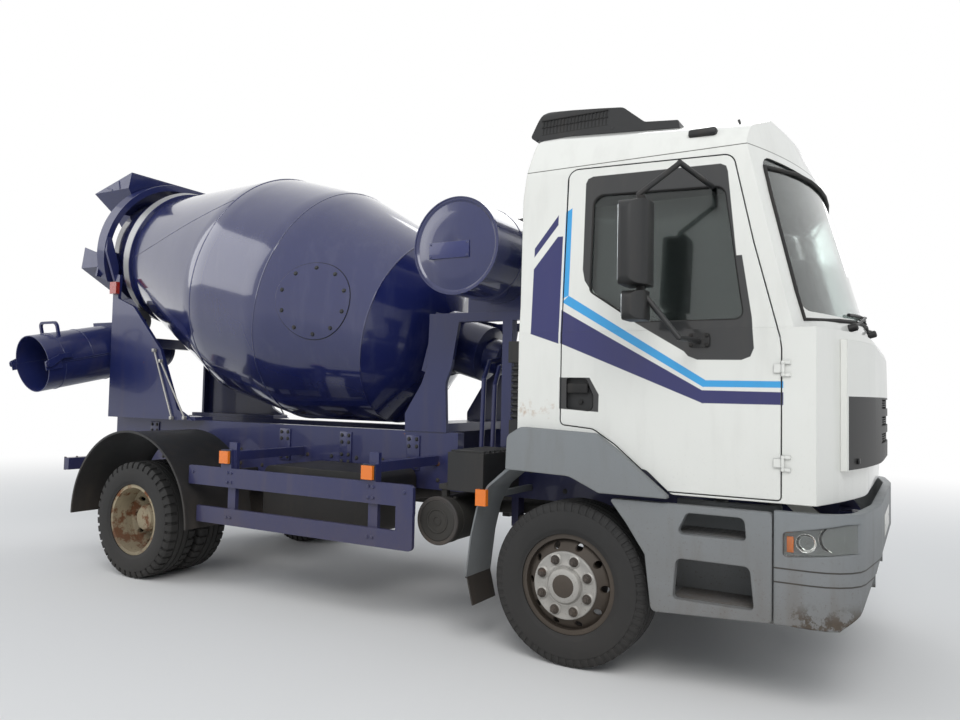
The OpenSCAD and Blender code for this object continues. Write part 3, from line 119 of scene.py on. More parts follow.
class Nodes:
    """A short way to add and join the nodes of one tree."""

    def __init__(self, tree: bpy.types.NodeTree) -> None:
        """Keeps the tree.

        Args:
            tree: The node tree that gets the nodes.
        """
        self.tree = tree

    def add(self, kind: str, inputs: dict | None = None, **settings: object) -> bpy.types.Node:
        """Adds a node, sets it up and joins its inputs.

        Args:
            kind: The node's type name.
            inputs: Values or output sockets by input name or number.
            settings: Attributes of the node.

        Returns:
            The new node.
        """
        node = self.tree.nodes.new(kind)
        for name, value in settings.items():
            setattr(node, name, value)
        for key, value in (inputs or {}).items():
            self.feed(node.inputs[key], value)
        return node

    def feed(self, socket: Socket, value: object) -> None:
        """Joins an output socket to a socket, or sets its plain value.

        Args:
            socket: The input to fill.
            value: An output socket, a number, a vector or a colour.
        """
        if isinstance(value, Socket):
            self.tree.links.new(value, socket)
        elif isinstance(value, (tuple, list)) and len(value) == 3 and socket.type == "RGBA":
            socket.default_value = (*value, 1.0)
        else:
            socket.default_value = value

    def math(self, operation: str, *values: object, clamp: bool = False) -> Socket:
        """Adds a Math node.

        Args:
            operation: Its operation.
            values: Its inputs in order.
            clamp: Whether the result stays between 0 and 1.

        Returns:
            Its output.
        """
        node = self.add("ShaderNodeMath", dict(enumerate(values)), operation=operation)
        node.use_clamp = clamp
        return node.outputs[0]

    def vector(self, operation: str, *values: object) -> bpy.types.Node:
        """Adds a Vector Math node.

        Args:
            operation: Its operation.
            values: Its inputs in order.

        Returns:
            The node.
        """
        return self.add("ShaderNodeVectorMath", dict(enumerate(values)), operation=operation)

    def axes(self, value: Socket) -> Sequence[Socket]:
        """Splits a vector.

        Args:
            value: The vector's output.

        Returns:
            The outputs of its X, Y and Z.
        """
        return self.add("ShaderNodeSeparateXYZ", {0: value}).outputs

    def mix(self, factor: object, first: object, second: object) -> Socket:
        """Mixes two colours.

        Args:
            factor: 0 for the first colour and 1 for the second.
            first: A colour or an output.
            second: A colour or an output.

        Returns:
            The mixed colour.
        """
        node = self.add("ShaderNodeMix", data_type="RGBA", clamp_factor=True)
        for at, value in ((0, factor), (6, first), (7, second)):
            self.feed(node.inputs[at], value)
        return node.outputs[2]

    def ramp(self, value: Socket, low: float, high: float) -> Socket:
        """A smooth step from 0 at low to 1 at high.

        Args:
            value: The output that is stepped.
            low: Where the step starts.
            high: Where it ends.

        Returns:
            The stepped value.
        """
        node = self.add("ShaderNodeMapRange", {0: value, 1: low, 2: high},
                        interpolation_type="SMOOTHSTEP")
        return node.outputs[0]

    def noise(self, place: Socket, scale: float, detail: float = 3.0, rough: float = 0.6,
              stretch: Point = (1.0, 1.0, 1.0)) -> Socket:
        """A noise of 0 to 1 over the object.

        Args:
            place: The coordinates.
            scale: Waves a metre.
            detail: Octaves.
            rough: How strong the fine octaves are.
            stretch: Factors along X, Y and Z.

        Returns:
            The noise.
        """
        if stretch != (1.0, 1.0, 1.0):
            place = self.vector("MULTIPLY", place, stretch).outputs[0]
        node = self.add("ShaderNodeTexNoise", {"Vector": place, "Scale": scale,
                                               "Detail": detail, "Roughness": rough})
        return node.outputs[0]


def new_group(name: str, ins: Sequence[tuple[str, str, object]],
              outs: Sequence[tuple[str, str]]) -> tuple[bpy.types.NodeTree, Nodes, dict, dict]:
    """Starts a shader node group with named sockets.

    Args:
        name: The group's name.
        ins: Rows of socket name, kind and standard value.
        outs: Rows of socket name and kind.

    Returns:
        The tree, its node helper, its inputs by name, and its result sockets by name.
    """
    tree = bpy.data.node_groups.new(name, "ShaderNodeTree")
    for label, kind, value in ins:
        socket = tree.interface.new_socket(label, in_out="INPUT", socket_type=kind)
        if value is not None:
            socket.default_value = value
    for label, kind in outs:
        tree.interface.new_socket(label, in_out="OUTPUT", socket_type=kind)
    helper = Nodes(tree)
    start = tree.nodes.new("NodeGroupInput")
    end = tree.nodes.new("NodeGroupOutput")
    return (tree, helper, {s.name: s for s in start.outputs if s.name},
            {s.name: s for s in end.inputs if s.name})


def make_road_dirt() -> bpy.types.NodeTree:
    """Splashed and settled dirt: thick near the ground, thin dust and streaks above.

    Returns:
        The node group.
    """
    tree, n, ins, outs = new_group(
        "Road dirt",
        [("Color", "NodeSocketColor", (0.5, 0.5, 0.5, 1.0)),
         ("Roughness", "NodeSocketFloat", 0.4),
         ("Dirt", "NodeSocketColor", (*tint("5d5145"), 1.0)),
         ("Top", "NodeSocketFloat", 0.9),
         ("Amount", "NodeSocketFloat", 0.5)],
        [("Color", "NodeSocketColor"), ("Roughness", "NodeSocketFloat"),
         ("Mask", "NodeSocketFloat")])
    place = n.add("ShaderNodeTexCoord").outputs["Object"]
    high = n.axes(place)[2]
    blot = n.noise(place, 5.0, 6.0, 0.65)
    streak = n.noise(place, 9.0, 4.0, 0.6, (1.0, 1.0, 0.16))
    specks = n.noise(place, 90.0, 3.0, 0.7)
    depth = n.math("DIVIDE", n.math("SUBTRACT", ins["Top"], high), ins["Top"], clamp=True)
    low = n.math("MULTIPLY", depth, n.math("ADD", 0.35, blot), clamp=True)
    thin = n.math("MULTIPLY", n.ramp(streak, 0.48, 0.75), 0.28)
    dots = n.math("MULTIPLY", n.ramp(specks, 0.58, 0.72), n.math("ADD", n.math(
        "MULTIPLY", depth, 0.9), 0.08))
    mask = n.math("MULTIPLY", n.math("ADD", n.math("ADD", low, thin), dots), ins["Amount"],
                  clamp=True)
    n.feed(outs["Color"], n.mix(mask, ins["Color"], ins["Dirt"]))
    rough = n.math("ADD", ins["Roughness"], n.math("MULTIPLY", mask, n.math(
        "SUBTRACT", 0.9, ins["Roughness"])))
    n.feed(outs["Roughness"], rough)
    n.feed(outs["Mask"], mask)
    return tree


def make_edge_wear() -> bpy.types.NodeTree:
    """Bare or pale worn edges, found where a rounded normal leaves the real one.

    Returns:
        The node group.
    """
    tree, n, ins, outs = new_group(
        "Edge wear",
        [("Width", "NodeSocketFloat", 0.006), ("Amount", "NodeSocketFloat", 0.5)],
        [("Mask", "NodeSocketFloat")])
    place = n.add("ShaderNodeTexCoord").outputs["Object"]
    flat = n.add("ShaderNodeNewGeometry").outputs["Normal"]
    round_ = n.add("ShaderNodeBevel", {"Radius": ins["Width"]}, samples=4).outputs[0]
    bend = n.math("SUBTRACT", 1.0, n.vector("DOT_PRODUCT", flat, round_).outputs["Value"])
    chips = n.ramp(n.noise(place, 38.0, 5.0, 0.7), 0.42, 0.62)
    mask = n.math("MULTIPLY", n.math("MULTIPLY", n.ramp(bend, 0.02, 0.2), chips),
                  ins["Amount"], clamp=True)
    n.feed(outs["Mask"], mask)
    return tree


def make_rust() -> bpy.types.NodeTree:
    """Rust that blooms in spots and runs down a little.

    Returns:
        The node group.
    """
    tree, n, ins, outs = new_group(
        "Rust spots",
        [("Spread", "NodeSocketFloat", 0.2), ("Scale", "NodeSocketFloat", 6.0)],
        [("Mask", "NodeSocketFloat"), ("Color", "NodeSocketColor")])
    place = n.add("ShaderNodeTexCoord").outputs["Object"]
    scaled = n.vector("SCALE", place)
    n.feed(scaled.inputs["Scale"], ins["Scale"])
    big = n.noise(scaled.outputs[0], 1.0, 8.0, 0.72)
    fine = n.noise(place, 140.0, 4.0, 0.7)
    edge = n.math("SUBTRACT", 0.78, n.math("MULTIPLY", ins["Spread"], 0.5))
    level = n.math("SUBTRACT", n.math("ADD", big, n.math("MULTIPLY", fine, 0.12)), edge)
    n.feed(outs["Mask"], n.math("MULTIPLY", level, 14.0, clamp=True))
    n.feed(outs["Color"], n.mix(fine, tint("4c2b1a"), tint("8e5327")))
    return tree


# The painted bands and dark fields on the cab's sides: convex outlines in the side view, as
# (metres forward of the front axle, height)
NAVY_FIELDS: tuple[tuple[Flat, ...], ...] = (
    ((-0.080, 2.390), (-0.215, 2.215), (-0.215, 2.165), (-0.080, 2.335)),
    ((-0.080, 2.270), (-0.215, 2.100), (-0.215, 1.745), (-0.050, 1.690), (-0.050, 2.270)),
    ((-0.040, 1.870), (-0.040, 1.692), (0.710, 1.392), (0.710, 1.452)),
    ((0.700, 1.456), (0.700, 1.394), (1.070, 1.394), (1.070, 1.452)),
)
CYAN_FIELDS: tuple[tuple[Flat, ...], ...] = (
    ((-0.002, 2.420), (-0.038, 2.400), (-0.038, 1.930), (-0.002, 1.945)),
    ((-0.002, 1.945), (-0.038, 1.912), (0.710, 1.470), (0.724, 1.502)),
    ((0.715, 1.504), (0.705, 1.472), (1.070, 1.472), (1.070, 1.502)),
)
DARK_FIELDS: tuple[tuple[Flat, ...], ...] = (
    ((0.110, 2.580), (0.082, 2.570), (0.070, 2.545), (0.072, 2.080), (0.085, 2.020),
     (0.130, 1.955), (0.350, 1.800), (0.620, 1.640), (0.900, 1.700), (0.806, 2.520),
     (0.797, 2.548), (0.770, 2.562)),
    ((0.600, 1.660), (0.635, 1.620), (0.680, 1.602), (0.885, 1.600), (0.925, 1.616),
     (0.941, 1.655), (0.930, 1.800), (0.880, 2.100), (0.600, 2.100)),
    ((-0.040, 1.512), (-0.040, 1.348), (0.178, 1.336), (0.180, 1.425), (0.128, 1.512)),
)
# Where rust spots bloom low on the cab's rear corners, and how soft that field's edge is
CORNER_SOFT = 0.03
CORNER_FIELDS: tuple[tuple[Flat, ...], ...] = (
    ((-0.275, 1.375), (-0.275, 1.295), (-0.070, 1.295), (-0.070, 1.375)),
)
# A point inside the cab, and the height of the seam between its wall and its roof
CAB_MIDDLE = (AXLE_X + 0.55, 0.0, 1.85)
ROOF_SEAM_Z = 2.648
# The dark panel of the front lid: its middle height, half its height and half its width
LID_PANEL = (1.268, 0.172, 0.885)
# The bumper's two long joints, and the top of the flaps behind the front wheels
BUMPER_JOINTS = (0.600, 0.662)
FLAP_TOP = 0.395


def field_mask(n: Nodes, place: Socket, fields: Iterable[Sequence[Flat]],
               soft: float = 0.0015) -> Socket:
    """1 inside any of the flat outlines of the side view, 0 outside.

    Args:
        n: The helper of the tree.
        place: Object coordinates.
        fields: Convex outlines, counted from the front axle.
        soft: Half the width of the paint's edge in metres.

    Returns:
        The mask's output.
    """
    whole = None
    for field in fields:
        area = sum(a[0] * b[1] - b[0] * a[1] for a, b in zip(field, field[1:] + field[:1]))
        turn = 1.0 if area > 0 else -1.0
        inside = None
        for a, b in zip(field, field[1:] + field[:1]):
            run = math.hypot(b[0] - a[0], b[1] - a[1])
            nx, nz = -turn * (b[1] - a[1]) / run, turn * (b[0] - a[0]) / run
            dot = n.vector("DOT_PRODUCT", place, (nx, 0.0, nz)).outputs["Value"]
            start = nx * (a[0] + AXLE_X) + nz * a[1]
            edge = n.math("MULTIPLY_ADD", dot, 0.5 / soft, 0.5 - 0.5 * start / soft, clamp=True)
            inside = edge if inside is None else n.math("MINIMUM", inside, edge)
        whole = inside if whole is None else n.math("MAXIMUM", whole, inside)
    return whole


def make_livery() -> bpy.types.NodeTree:
    """Where the cab's sides carry the navy band, the light band and the dark window field.

    Returns:
        The node group.
    """
    tree, n, _, outs = new_group(
        "Cab livery", [],
        [("Navy", "NodeSocketFloat"), ("Cyan", "NodeSocketFloat"),
         ("Dark", "NodeSocketFloat"), ("Seam", "NodeSocketFloat"),
         ("Inside", "NodeSocketFloat")])
    coords = n.add("ShaderNodeTexCoord")
    place, normal = coords.outputs["Object"], coords.outputs["Normal"]
    out = n.vector("DOT_PRODUCT", normal, n.vector(
        "SUBTRACT", place, CAB_MIDDLE).outputs[0]).outputs["Value"]
    outside = n.math("GREATER_THAN", out, 0.0)
    across = n.math("ABSOLUTE", n.axes(normal)[1])
    side = n.math("MULTIPLY", outside, n.math("GREATER_THAN", across, 0.7))
    for name, fields in (("Navy", NAVY_FIELDS), ("Cyan", CYAN_FIELDS), ("Dark", DARK_FIELDS)):
        n.feed(outs[name], n.math("MULTIPLY", field_mask(n, place, fields), side))
    high = n.axes(place)[2]
    gap = n.math("ABSOLUTE", n.math("SUBTRACT", high, ROOF_SEAM_Z))
    n.feed(outs["Seam"], n.math("MULTIPLY", n.math("SUBTRACT", 1.0, n.ramp(
        gap, 0.0015, 0.0035)), outside))
    n.feed(outs["Inside"], n.math("SUBTRACT", 1.0, outside))
    return tree


def make_smoothing() -> bpy.types.NodeTree:
    """Geometry nodes that shade a faceted solid smooth, with its real edges kept sharp.

    Returns:
        The node group, for a modifier.
    """
    tree = bpy.data.node_groups.new("Smooth shading", "GeometryNodeTree")
    tree.interface.new_socket("Geometry", in_out="INPUT", socket_type="NodeSocketGeometry")
    tree.interface.new_socket("Geometry", in_out="OUTPUT", socket_type="NodeSocketGeometry")
    n = Nodes(tree)
    start, end = tree.nodes.new("NodeGroupInput"), tree.nodes.new("NodeGroupOutput")
    merged = n.add("GeometryNodeMergeByDistance", {"Geometry": start.outputs[0],
                                                   "Distance": 1e-5})
    soft = n.add("GeometryNodeSetShadeSmooth", {"Geometry": merged.outputs[0],
                                                "Shade Smooth": True}, domain="FACE")
    angle = n.add("GeometryNodeInputMeshEdgeAngle")
    steep = n.math("GREATER_THAN", angle.outputs["Unsigned Angle"], math.radians(28.0))
    sharp = n.add("GeometryNodeSetShadeSmooth", {
        "Geometry": soft.outputs[0], "Selection": steep, "Shade Smooth": False}, domain="EDGE")
    tree.links.new(sharp.outputs[0], end.inputs[0])
    return tree


# A pattern takes a tree's helper, the coordinates and the colour below, and returns the
# new colour and either the roughness or None
Pattern = Callable[[Nodes, Socket, Socket], tuple[Socket, Socket | None]]


class Effects:
    """The node groups that several materials share, each built once."""

    def __init__(self) -> None:
        """Builds every group."""
        self.dirt = make_road_dirt()
        self.wear = make_edge_wear()
        self.rust = make_rust()
        self.livery = make_livery()
        self.smoothing = make_smoothing()


@dataclass(frozen=True)
class Finish:
    """One surface finish, with its wear and dirt.

    The colours are linear. Depths are in metres and scales in waves a metre.
    """

    name: str
    colour: Colour
    roughness: float = 0.5
    metallic: float = 0.0
    coat: float = 0.0
    mottle: float = 0.08
    grain_scale: float = 300.0
    grain_depth: float = 0.0001
    wave_depth: float = 0.0
    dirt: float = 0.35
    dirt_top: float = 0.9
    dirt_colour: Colour = tint("5d5145")
    rust: float = 0.0
    wear: float = 0.0
    wear_colour: Colour = tint("9b9d9e")
    transmission: float = 0.0
    edge_radius: float = 0.003
    coat_roughness: float = 0.06
    ior: float = 1.45

    def make(self, effects: Effects, paint: Pattern | None = None) -> bpy.types.Material:
        """Builds the material.

        Args:
            effects: The shared node groups.
            paint: The pattern that is laid over the base colour, or None.

        Returns:
            The material.
        """
        material = bpy.data.materials.new(self.name)
        material.use_nodes = True
        n = Nodes(material.node_tree)
        shader = n.tree.nodes["Principled BSDF"]
        place = n.add("ShaderNodeTexCoord").outputs["Object"]
        colour: object = self.colour
        if self.mottle:
            pale = tuple(min(1.0, v * (1.0 + self.mottle) + 0.02 * self.mottle)
                         for v in self.colour)
            deep = tuple(v * (1.0 - self.mottle) for v in self.colour)
            colour = n.mix(n.noise(place, 3.0, 5.0, 0.6), deep, pale)
        rough = n.math("ADD", self.roughness - 0.05, n.math("MULTIPLY", n.noise(
            place, 14.0, 4.0, 0.6), 0.1))
        if paint:
            colour, changed = paint(n, place, colour)
            rough = rough if changed is None else changed
        if self.rust:
            rust = n.add("ShaderNodeGroup", node_tree=effects.rust)
            rust.inputs["Spread"].default_value = self.rust
            colour = n.mix(rust.outputs["Mask"], colour, rust.outputs["Color"])
            rough = n.math("ADD", rough, n.math("MULTIPLY", rust.outputs["Mask"], 0.35),
                           clamp=True)
        if self.wear:
            wear = n.add("ShaderNodeGroup", {"Amount": self.wear}, node_tree=effects.wear)
            colour = n.mix(wear.outputs["Mask"], colour, self.wear_colour)
        if self.dirt:
            soil = n.add("ShaderNodeGroup", {
                "Color": colour, "Roughness": rough, "Top": self.dirt_top,
                "Amount": self.dirt, "Dirt": (*self.dirt_colour, 1.0)},
                node_tree=effects.dirt)
            colour, rough = soil.outputs["Color"], soil.outputs["Roughness"]
        n.feed(shader.inputs["Base Color"], colour)
        n.feed(shader.inputs["Roughness"], rough)
        for label, value in (("Metallic", self.metallic), ("Coat Weight", self.coat),
                             ("Coat Roughness", self.coat_roughness),
                             ("Transmission Weight", self.transmission), ("IOR", self.ior)):
            shader.inputs[label].default_value = value
        edge = n.add("ShaderNodeBevel", {"Radius": self.edge_radius}, samples=3).outputs[0]
        height = n.math("MULTIPLY", n.noise(place, self.grain_scale, 2.0, 0.5),
                        self.grain_depth)
        if self.wave_depth:
            height = n.math("ADD", height, n.math("MULTIPLY", n.noise(
                place, 3.5, 2.0, 0.5), self.wave_depth))
        bump = n.add("ShaderNodeBump", {"Height": height, "Distance": 1.0, "Normal": edge})
        n.feed(shader.inputs["Normal"], bump.outputs[0])
        return material


class Paints:
    """Every material of the truck, by the part that it dresses."""

    def __init__(self, effects: Effects) -> None:
        """Makes the materials.

        Args:
            effects: The shared node groups.
        """
        self.effects = effects

        def cab_bands(n: Nodes, place: Socket, colour: Socket) -> tuple[Socket, Socket]:
            """Lays the side bands, the window field and the trim inside over the white.

            Args:
                n: The helper of the tree.
                place: Object coordinates.
                colour: The colour below.

            Returns:
                The colour and the roughness.
            """
            livery = n.add("ShaderNodeGroup", node_tree=effects.livery)
            for field, code in (("Navy", "1b1e5a"), ("Cyan", "2f98d2"), ("Dark", "232425"),
                                ("Seam", "55564f"), ("Inside", "46494c")):
                colour = n.mix(livery.outputs[field], colour, tint(code))
            spots = n.math("MULTIPLY", n.ramp(n.noise(place, 26.0, 6.0, 0.7), 0.5, 0.72),
                           field_mask(n, place, CORNER_FIELDS, CORNER_SOFT))
            colour = n.mix(n.math("MULTIPLY", spots, 0.6), colour, tint("a07340"))
            rough = n.math("ADD", 0.3, n.math("MULTIPLY", livery.outputs["Inside"], 0.4))
            return colour, rough

        def seams(n: Nodes, place: Socket, colour: Socket) -> tuple[Socket, None]:
            """Darkens the bumper's two long joints and its muddy lower corners.

            Args:
                n: The helper of the tree.
                place: Object coordinates.
                colour: The colour below.

            Returns:
                The colour and no change of roughness.
            """
            along, _, high = n.axes(place)
            for level in BUMPER_JOINTS:
                gap = n.math("ABSOLUTE", n.math("SUBTRACT", high, level))
                line = n.math("SUBTRACT", 1.0, n.ramp(gap, 0.002, 0.005))
                colour = n.mix(line, colour, tint("202122"))
            corner = n.math("MULTIPLY", n.ramp(along, AXLE_X + 1.06, AXLE_X + 1.14), n.math(
                "SUBTRACT", 1.0, n.ramp(high, 0.440, 0.540)))
            mud = n.math("MULTIPLY", n.ramp(n.noise(place, 13.0, 6.0, 0.7), 0.46, 0.54), corner)
            return n.mix(mud, colour, tint("3a332b")), None

        def coat(name: str, code: str, roughness: float, pattern: Pattern | None = None,
                 **rest: object) -> bpy.types.Material:
            """Makes one finish's material.

            Args:
                name: The finish's name.
                code: Its colour as six hexadecimal digits.
                roughness: Its roughness.
                pattern: The pattern over its colour, or None.
                rest: The other fields of the finish.

            Returns:
                The material.
            """
            return Finish(name, tint(code), roughness, **rest).make(effects, pattern)

        self.cab = coat("Cab white paint", "dcdcd6", 0.3, cab_bands, coat=0.6, mottle=0.03,
            grain_depth=0.00003, wave_depth=0.0006, dirt=0.22, dirt_top=1.35, edge_radius=0.006)
        self.lid = coat("Lid white paint", "dcdcd6", 0.3, self.lid_pattern, coat=0.1, mottle=0.03,
            grain_depth=0.00003, dirt=0.22, dirt_top=1.3, edge_radius=0.006)
        self.navy = coat("Frame navy paint", "1c2454", 0.35, coat=0.35, mottle=0.14,
            grain_depth=0.00008, dirt=0.5, dirt_top=1.2, wear=0.5, wear_colour=tint("5d6690"),
            rust=0.06)
        self.drum = coat("Drum navy gloss", "1b2254", 0.16, coat=1.0, mottle=0.1,
            grain_depth=0.00002, wave_depth=0.0035, dirt=0.18, dirt_top=0.3,
            dirt_colour=tint("8d8f9c"), edge_radius=0.004)
        self.tank = coat("Tank navy gloss", "1b2252", 0.22, coat=0.8, mottle=0.1,
            wave_depth=0.0015, dirt=0.12, dirt_colour=tint("8d8f9c"), edge_radius=0.004)
        self.grey = coat("Moulded grey", "7c8082", 0.55, mottle=0.06, grain_scale=900.0,
            grain_depth=0.0002, dirt=0.6, dirt_top=1.25, edge_radius=0.01)
        self.bumper = coat("Bumper grey", "7c8082", 0.5, seams, mottle=0.06, grain_scale=900.0,
            grain_depth=0.0002, dirt=0.65, dirt_top=1.0, edge_radius=0.012)
        self.guards = coat("Mudguard plastic", "1d1e1f", 0.5, self.guard_pattern,
            grain_scale=800.0, grain_depth=0.0002, dirt=0.4, dirt_top=1.0, edge_radius=0.006)
        self.black = coat("Black plastic", "1d1e1f", 0.5, grain_scale=800.0, grain_depth=0.0002,
            dirt=0.35, dirt_top=1.0, edge_radius=0.006)
        self.trim = coat("Cab trim", "4a4d50", 0.7, grain_scale=700.0, grain_depth=0.0003,
            dirt=0.0)
        self.steel = coat("Dark chassis steel", "2b2c2e", 0.6, mottle=0.2, dirt=0.9,
            dirt_top=0.95, rust=0.22)
        self.silencer = coat("Burnt steel", "2b2a28", 0.65, mottle=0.3, dirt=0.45, dirt_top=1.0,
            dirt_colour=tint("40392f"), rust=0.12)
        self.roller = coat("Running steel", "8b8c8d", 0.35, metallic=0.8, dirt=0.3, dirt_top=2.6)
        self.front_rim = coat("Dirty front rim", "3a342e", 0.6, metallic=0.1, mottle=0.3,
            dirt=0.5, dirt_top=0.9, rust=0.14)
        self.rear_rim = coat("Cream rear rim", "a89c80", 0.6, mottle=0.2, dirt=0.75,
            dirt_top=0.85, rust=0.42)
        self.silver = coat("Silver nut ring", "b3b1ac", 0.4, metallic=0.5, mottle=0.15, dirt=0.55,
            dirt_top=0.8, rust=0.08)
        self.tyre = coat("Tyre rubber", "222222", 0.72, grain_scale=500.0, grain_depth=0.0003,
            dirt=0.4, dirt_top=0.95, mottle=0.15, dirt_colour=tint("3d3935"), edge_radius=0.002)
        self.glass = coat("Cab glass", "e2ece9", 0.05, dirt=0.0, mottle=0.0, transmission=1.0,
            grain_depth=0.0, edge_radius=0.001)
        self.lens = coat("Clear lens", "f2f4f2", 0.08, dirt=0.0, mottle=0.0, transmission=1.0,
            grain_scale=90.0, grain_depth=0.0004, edge_radius=0.002)
        self.amber = coat("Amber lens", "e5761a", 0.2, coat=0.5, mottle=0.08, grain_scale=220.0,
            grain_depth=0.0012, dirt=0.15)
        self.red = coat("Red lens", "9c1f16", 0.2, coat=0.5, mottle=0.08, grain_scale=220.0,
            grain_depth=0.0012, dirt=0.3)
        self.chrome = coat("Bright reflector", "e6e6e4", 0.12, metallic=1.0, mottle=0.02,
            dirt=0.0)
        self.mirror = coat("Mirror glass", "cfd4d6", 0.03, metallic=1.0, mottle=0.0,
            grain_depth=0.0, dirt=0.06)
        self.fabric = coat("Cab cloth", "3f4349", 0.9, grain_scale=1400.0, grain_depth=0.0006,
            dirt=0.0, mottle=0.18)
        self.rubber = coat("Black rubber", "161616", 0.7, grain_scale=600.0, grain_depth=0.0003,
            dirt=0.3, dirt_top=1.2)
        self.plate = coat("Blank plate", "232a5e", 0.35, coat=0.4, dirt=0.2, dirt_top=1.0,
            wear=0.4)
        self.blank = coat("Blank front plate", "d9d8d2", 0.35, coat=0.3, mottle=0.03, dirt=0.5,
            dirt_top=1.2)
        self.tread = coat("Step treads", "5b5e60", 0.55, grain_scale=300.0, grain_depth=0.0004,
            dirt=0.8, dirt_top=1.1)

    @staticmethod
    def guard_pattern(n: Nodes, place: Socket, colour: Socket) -> tuple[Socket, None]:
        """Grey on the strips behind the front wheels, black on the arches and the flaps.

        Args:
            n: The helper of the tree.
            place: Object coordinates.
            colour: The colour below.

        Returns:
            The colour and no change of roughness.
        """
        parts = n.axes(place)
        ahead = n.math("GREATER_THAN", parts[0], AXLE_X - 1.2)
        high = n.math("GREATER_THAN", parts[2], FLAP_TOP)
        return n.mix(n.math("MULTIPLY", ahead, high), colour, tint("74787a")), None

    @staticmethod
    def lid_pattern(n: Nodes, place: Socket, colour: Socket) -> tuple[Socket, Socket]:
        """Black inside the grille's slots, white elsewhere.

        Args:
            n: The helper of the tree.
            place: Object coordinates.
            colour: The colour below.

        Returns:
            The colour and the roughness.
        """
        parts = n.axes(place)
        normal = n.add("ShaderNodeTexCoord").outputs["Normal"]
        facing = n.axes(normal)[0]
        middle, half_z, half_y = LID_PANEL
        low = n.math("LESS_THAN", n.math("ABSOLUTE", n.math("SUBTRACT", parts[2], middle)),
                     half_z)
        near = n.math("LESS_THAN", n.math("ABSOLUTE", parts[1]), half_y)
        mask = n.math("MULTIPLY", low, near)
        back = n.math("LESS_THAN", facing, -0.5)
        dark = n.math("MAXIMUM", mask, back)
        rough = n.math("MULTIPLY_ADD", dark, 0.35, 0.3)
        return n.mix(dark, colour, tint("1c1d1e")), rough


def unique(items: Iterable[object]) -> list:
    """The items without their repeats, in the order in which they first come."""
    return list(dict.fromkeys(items))


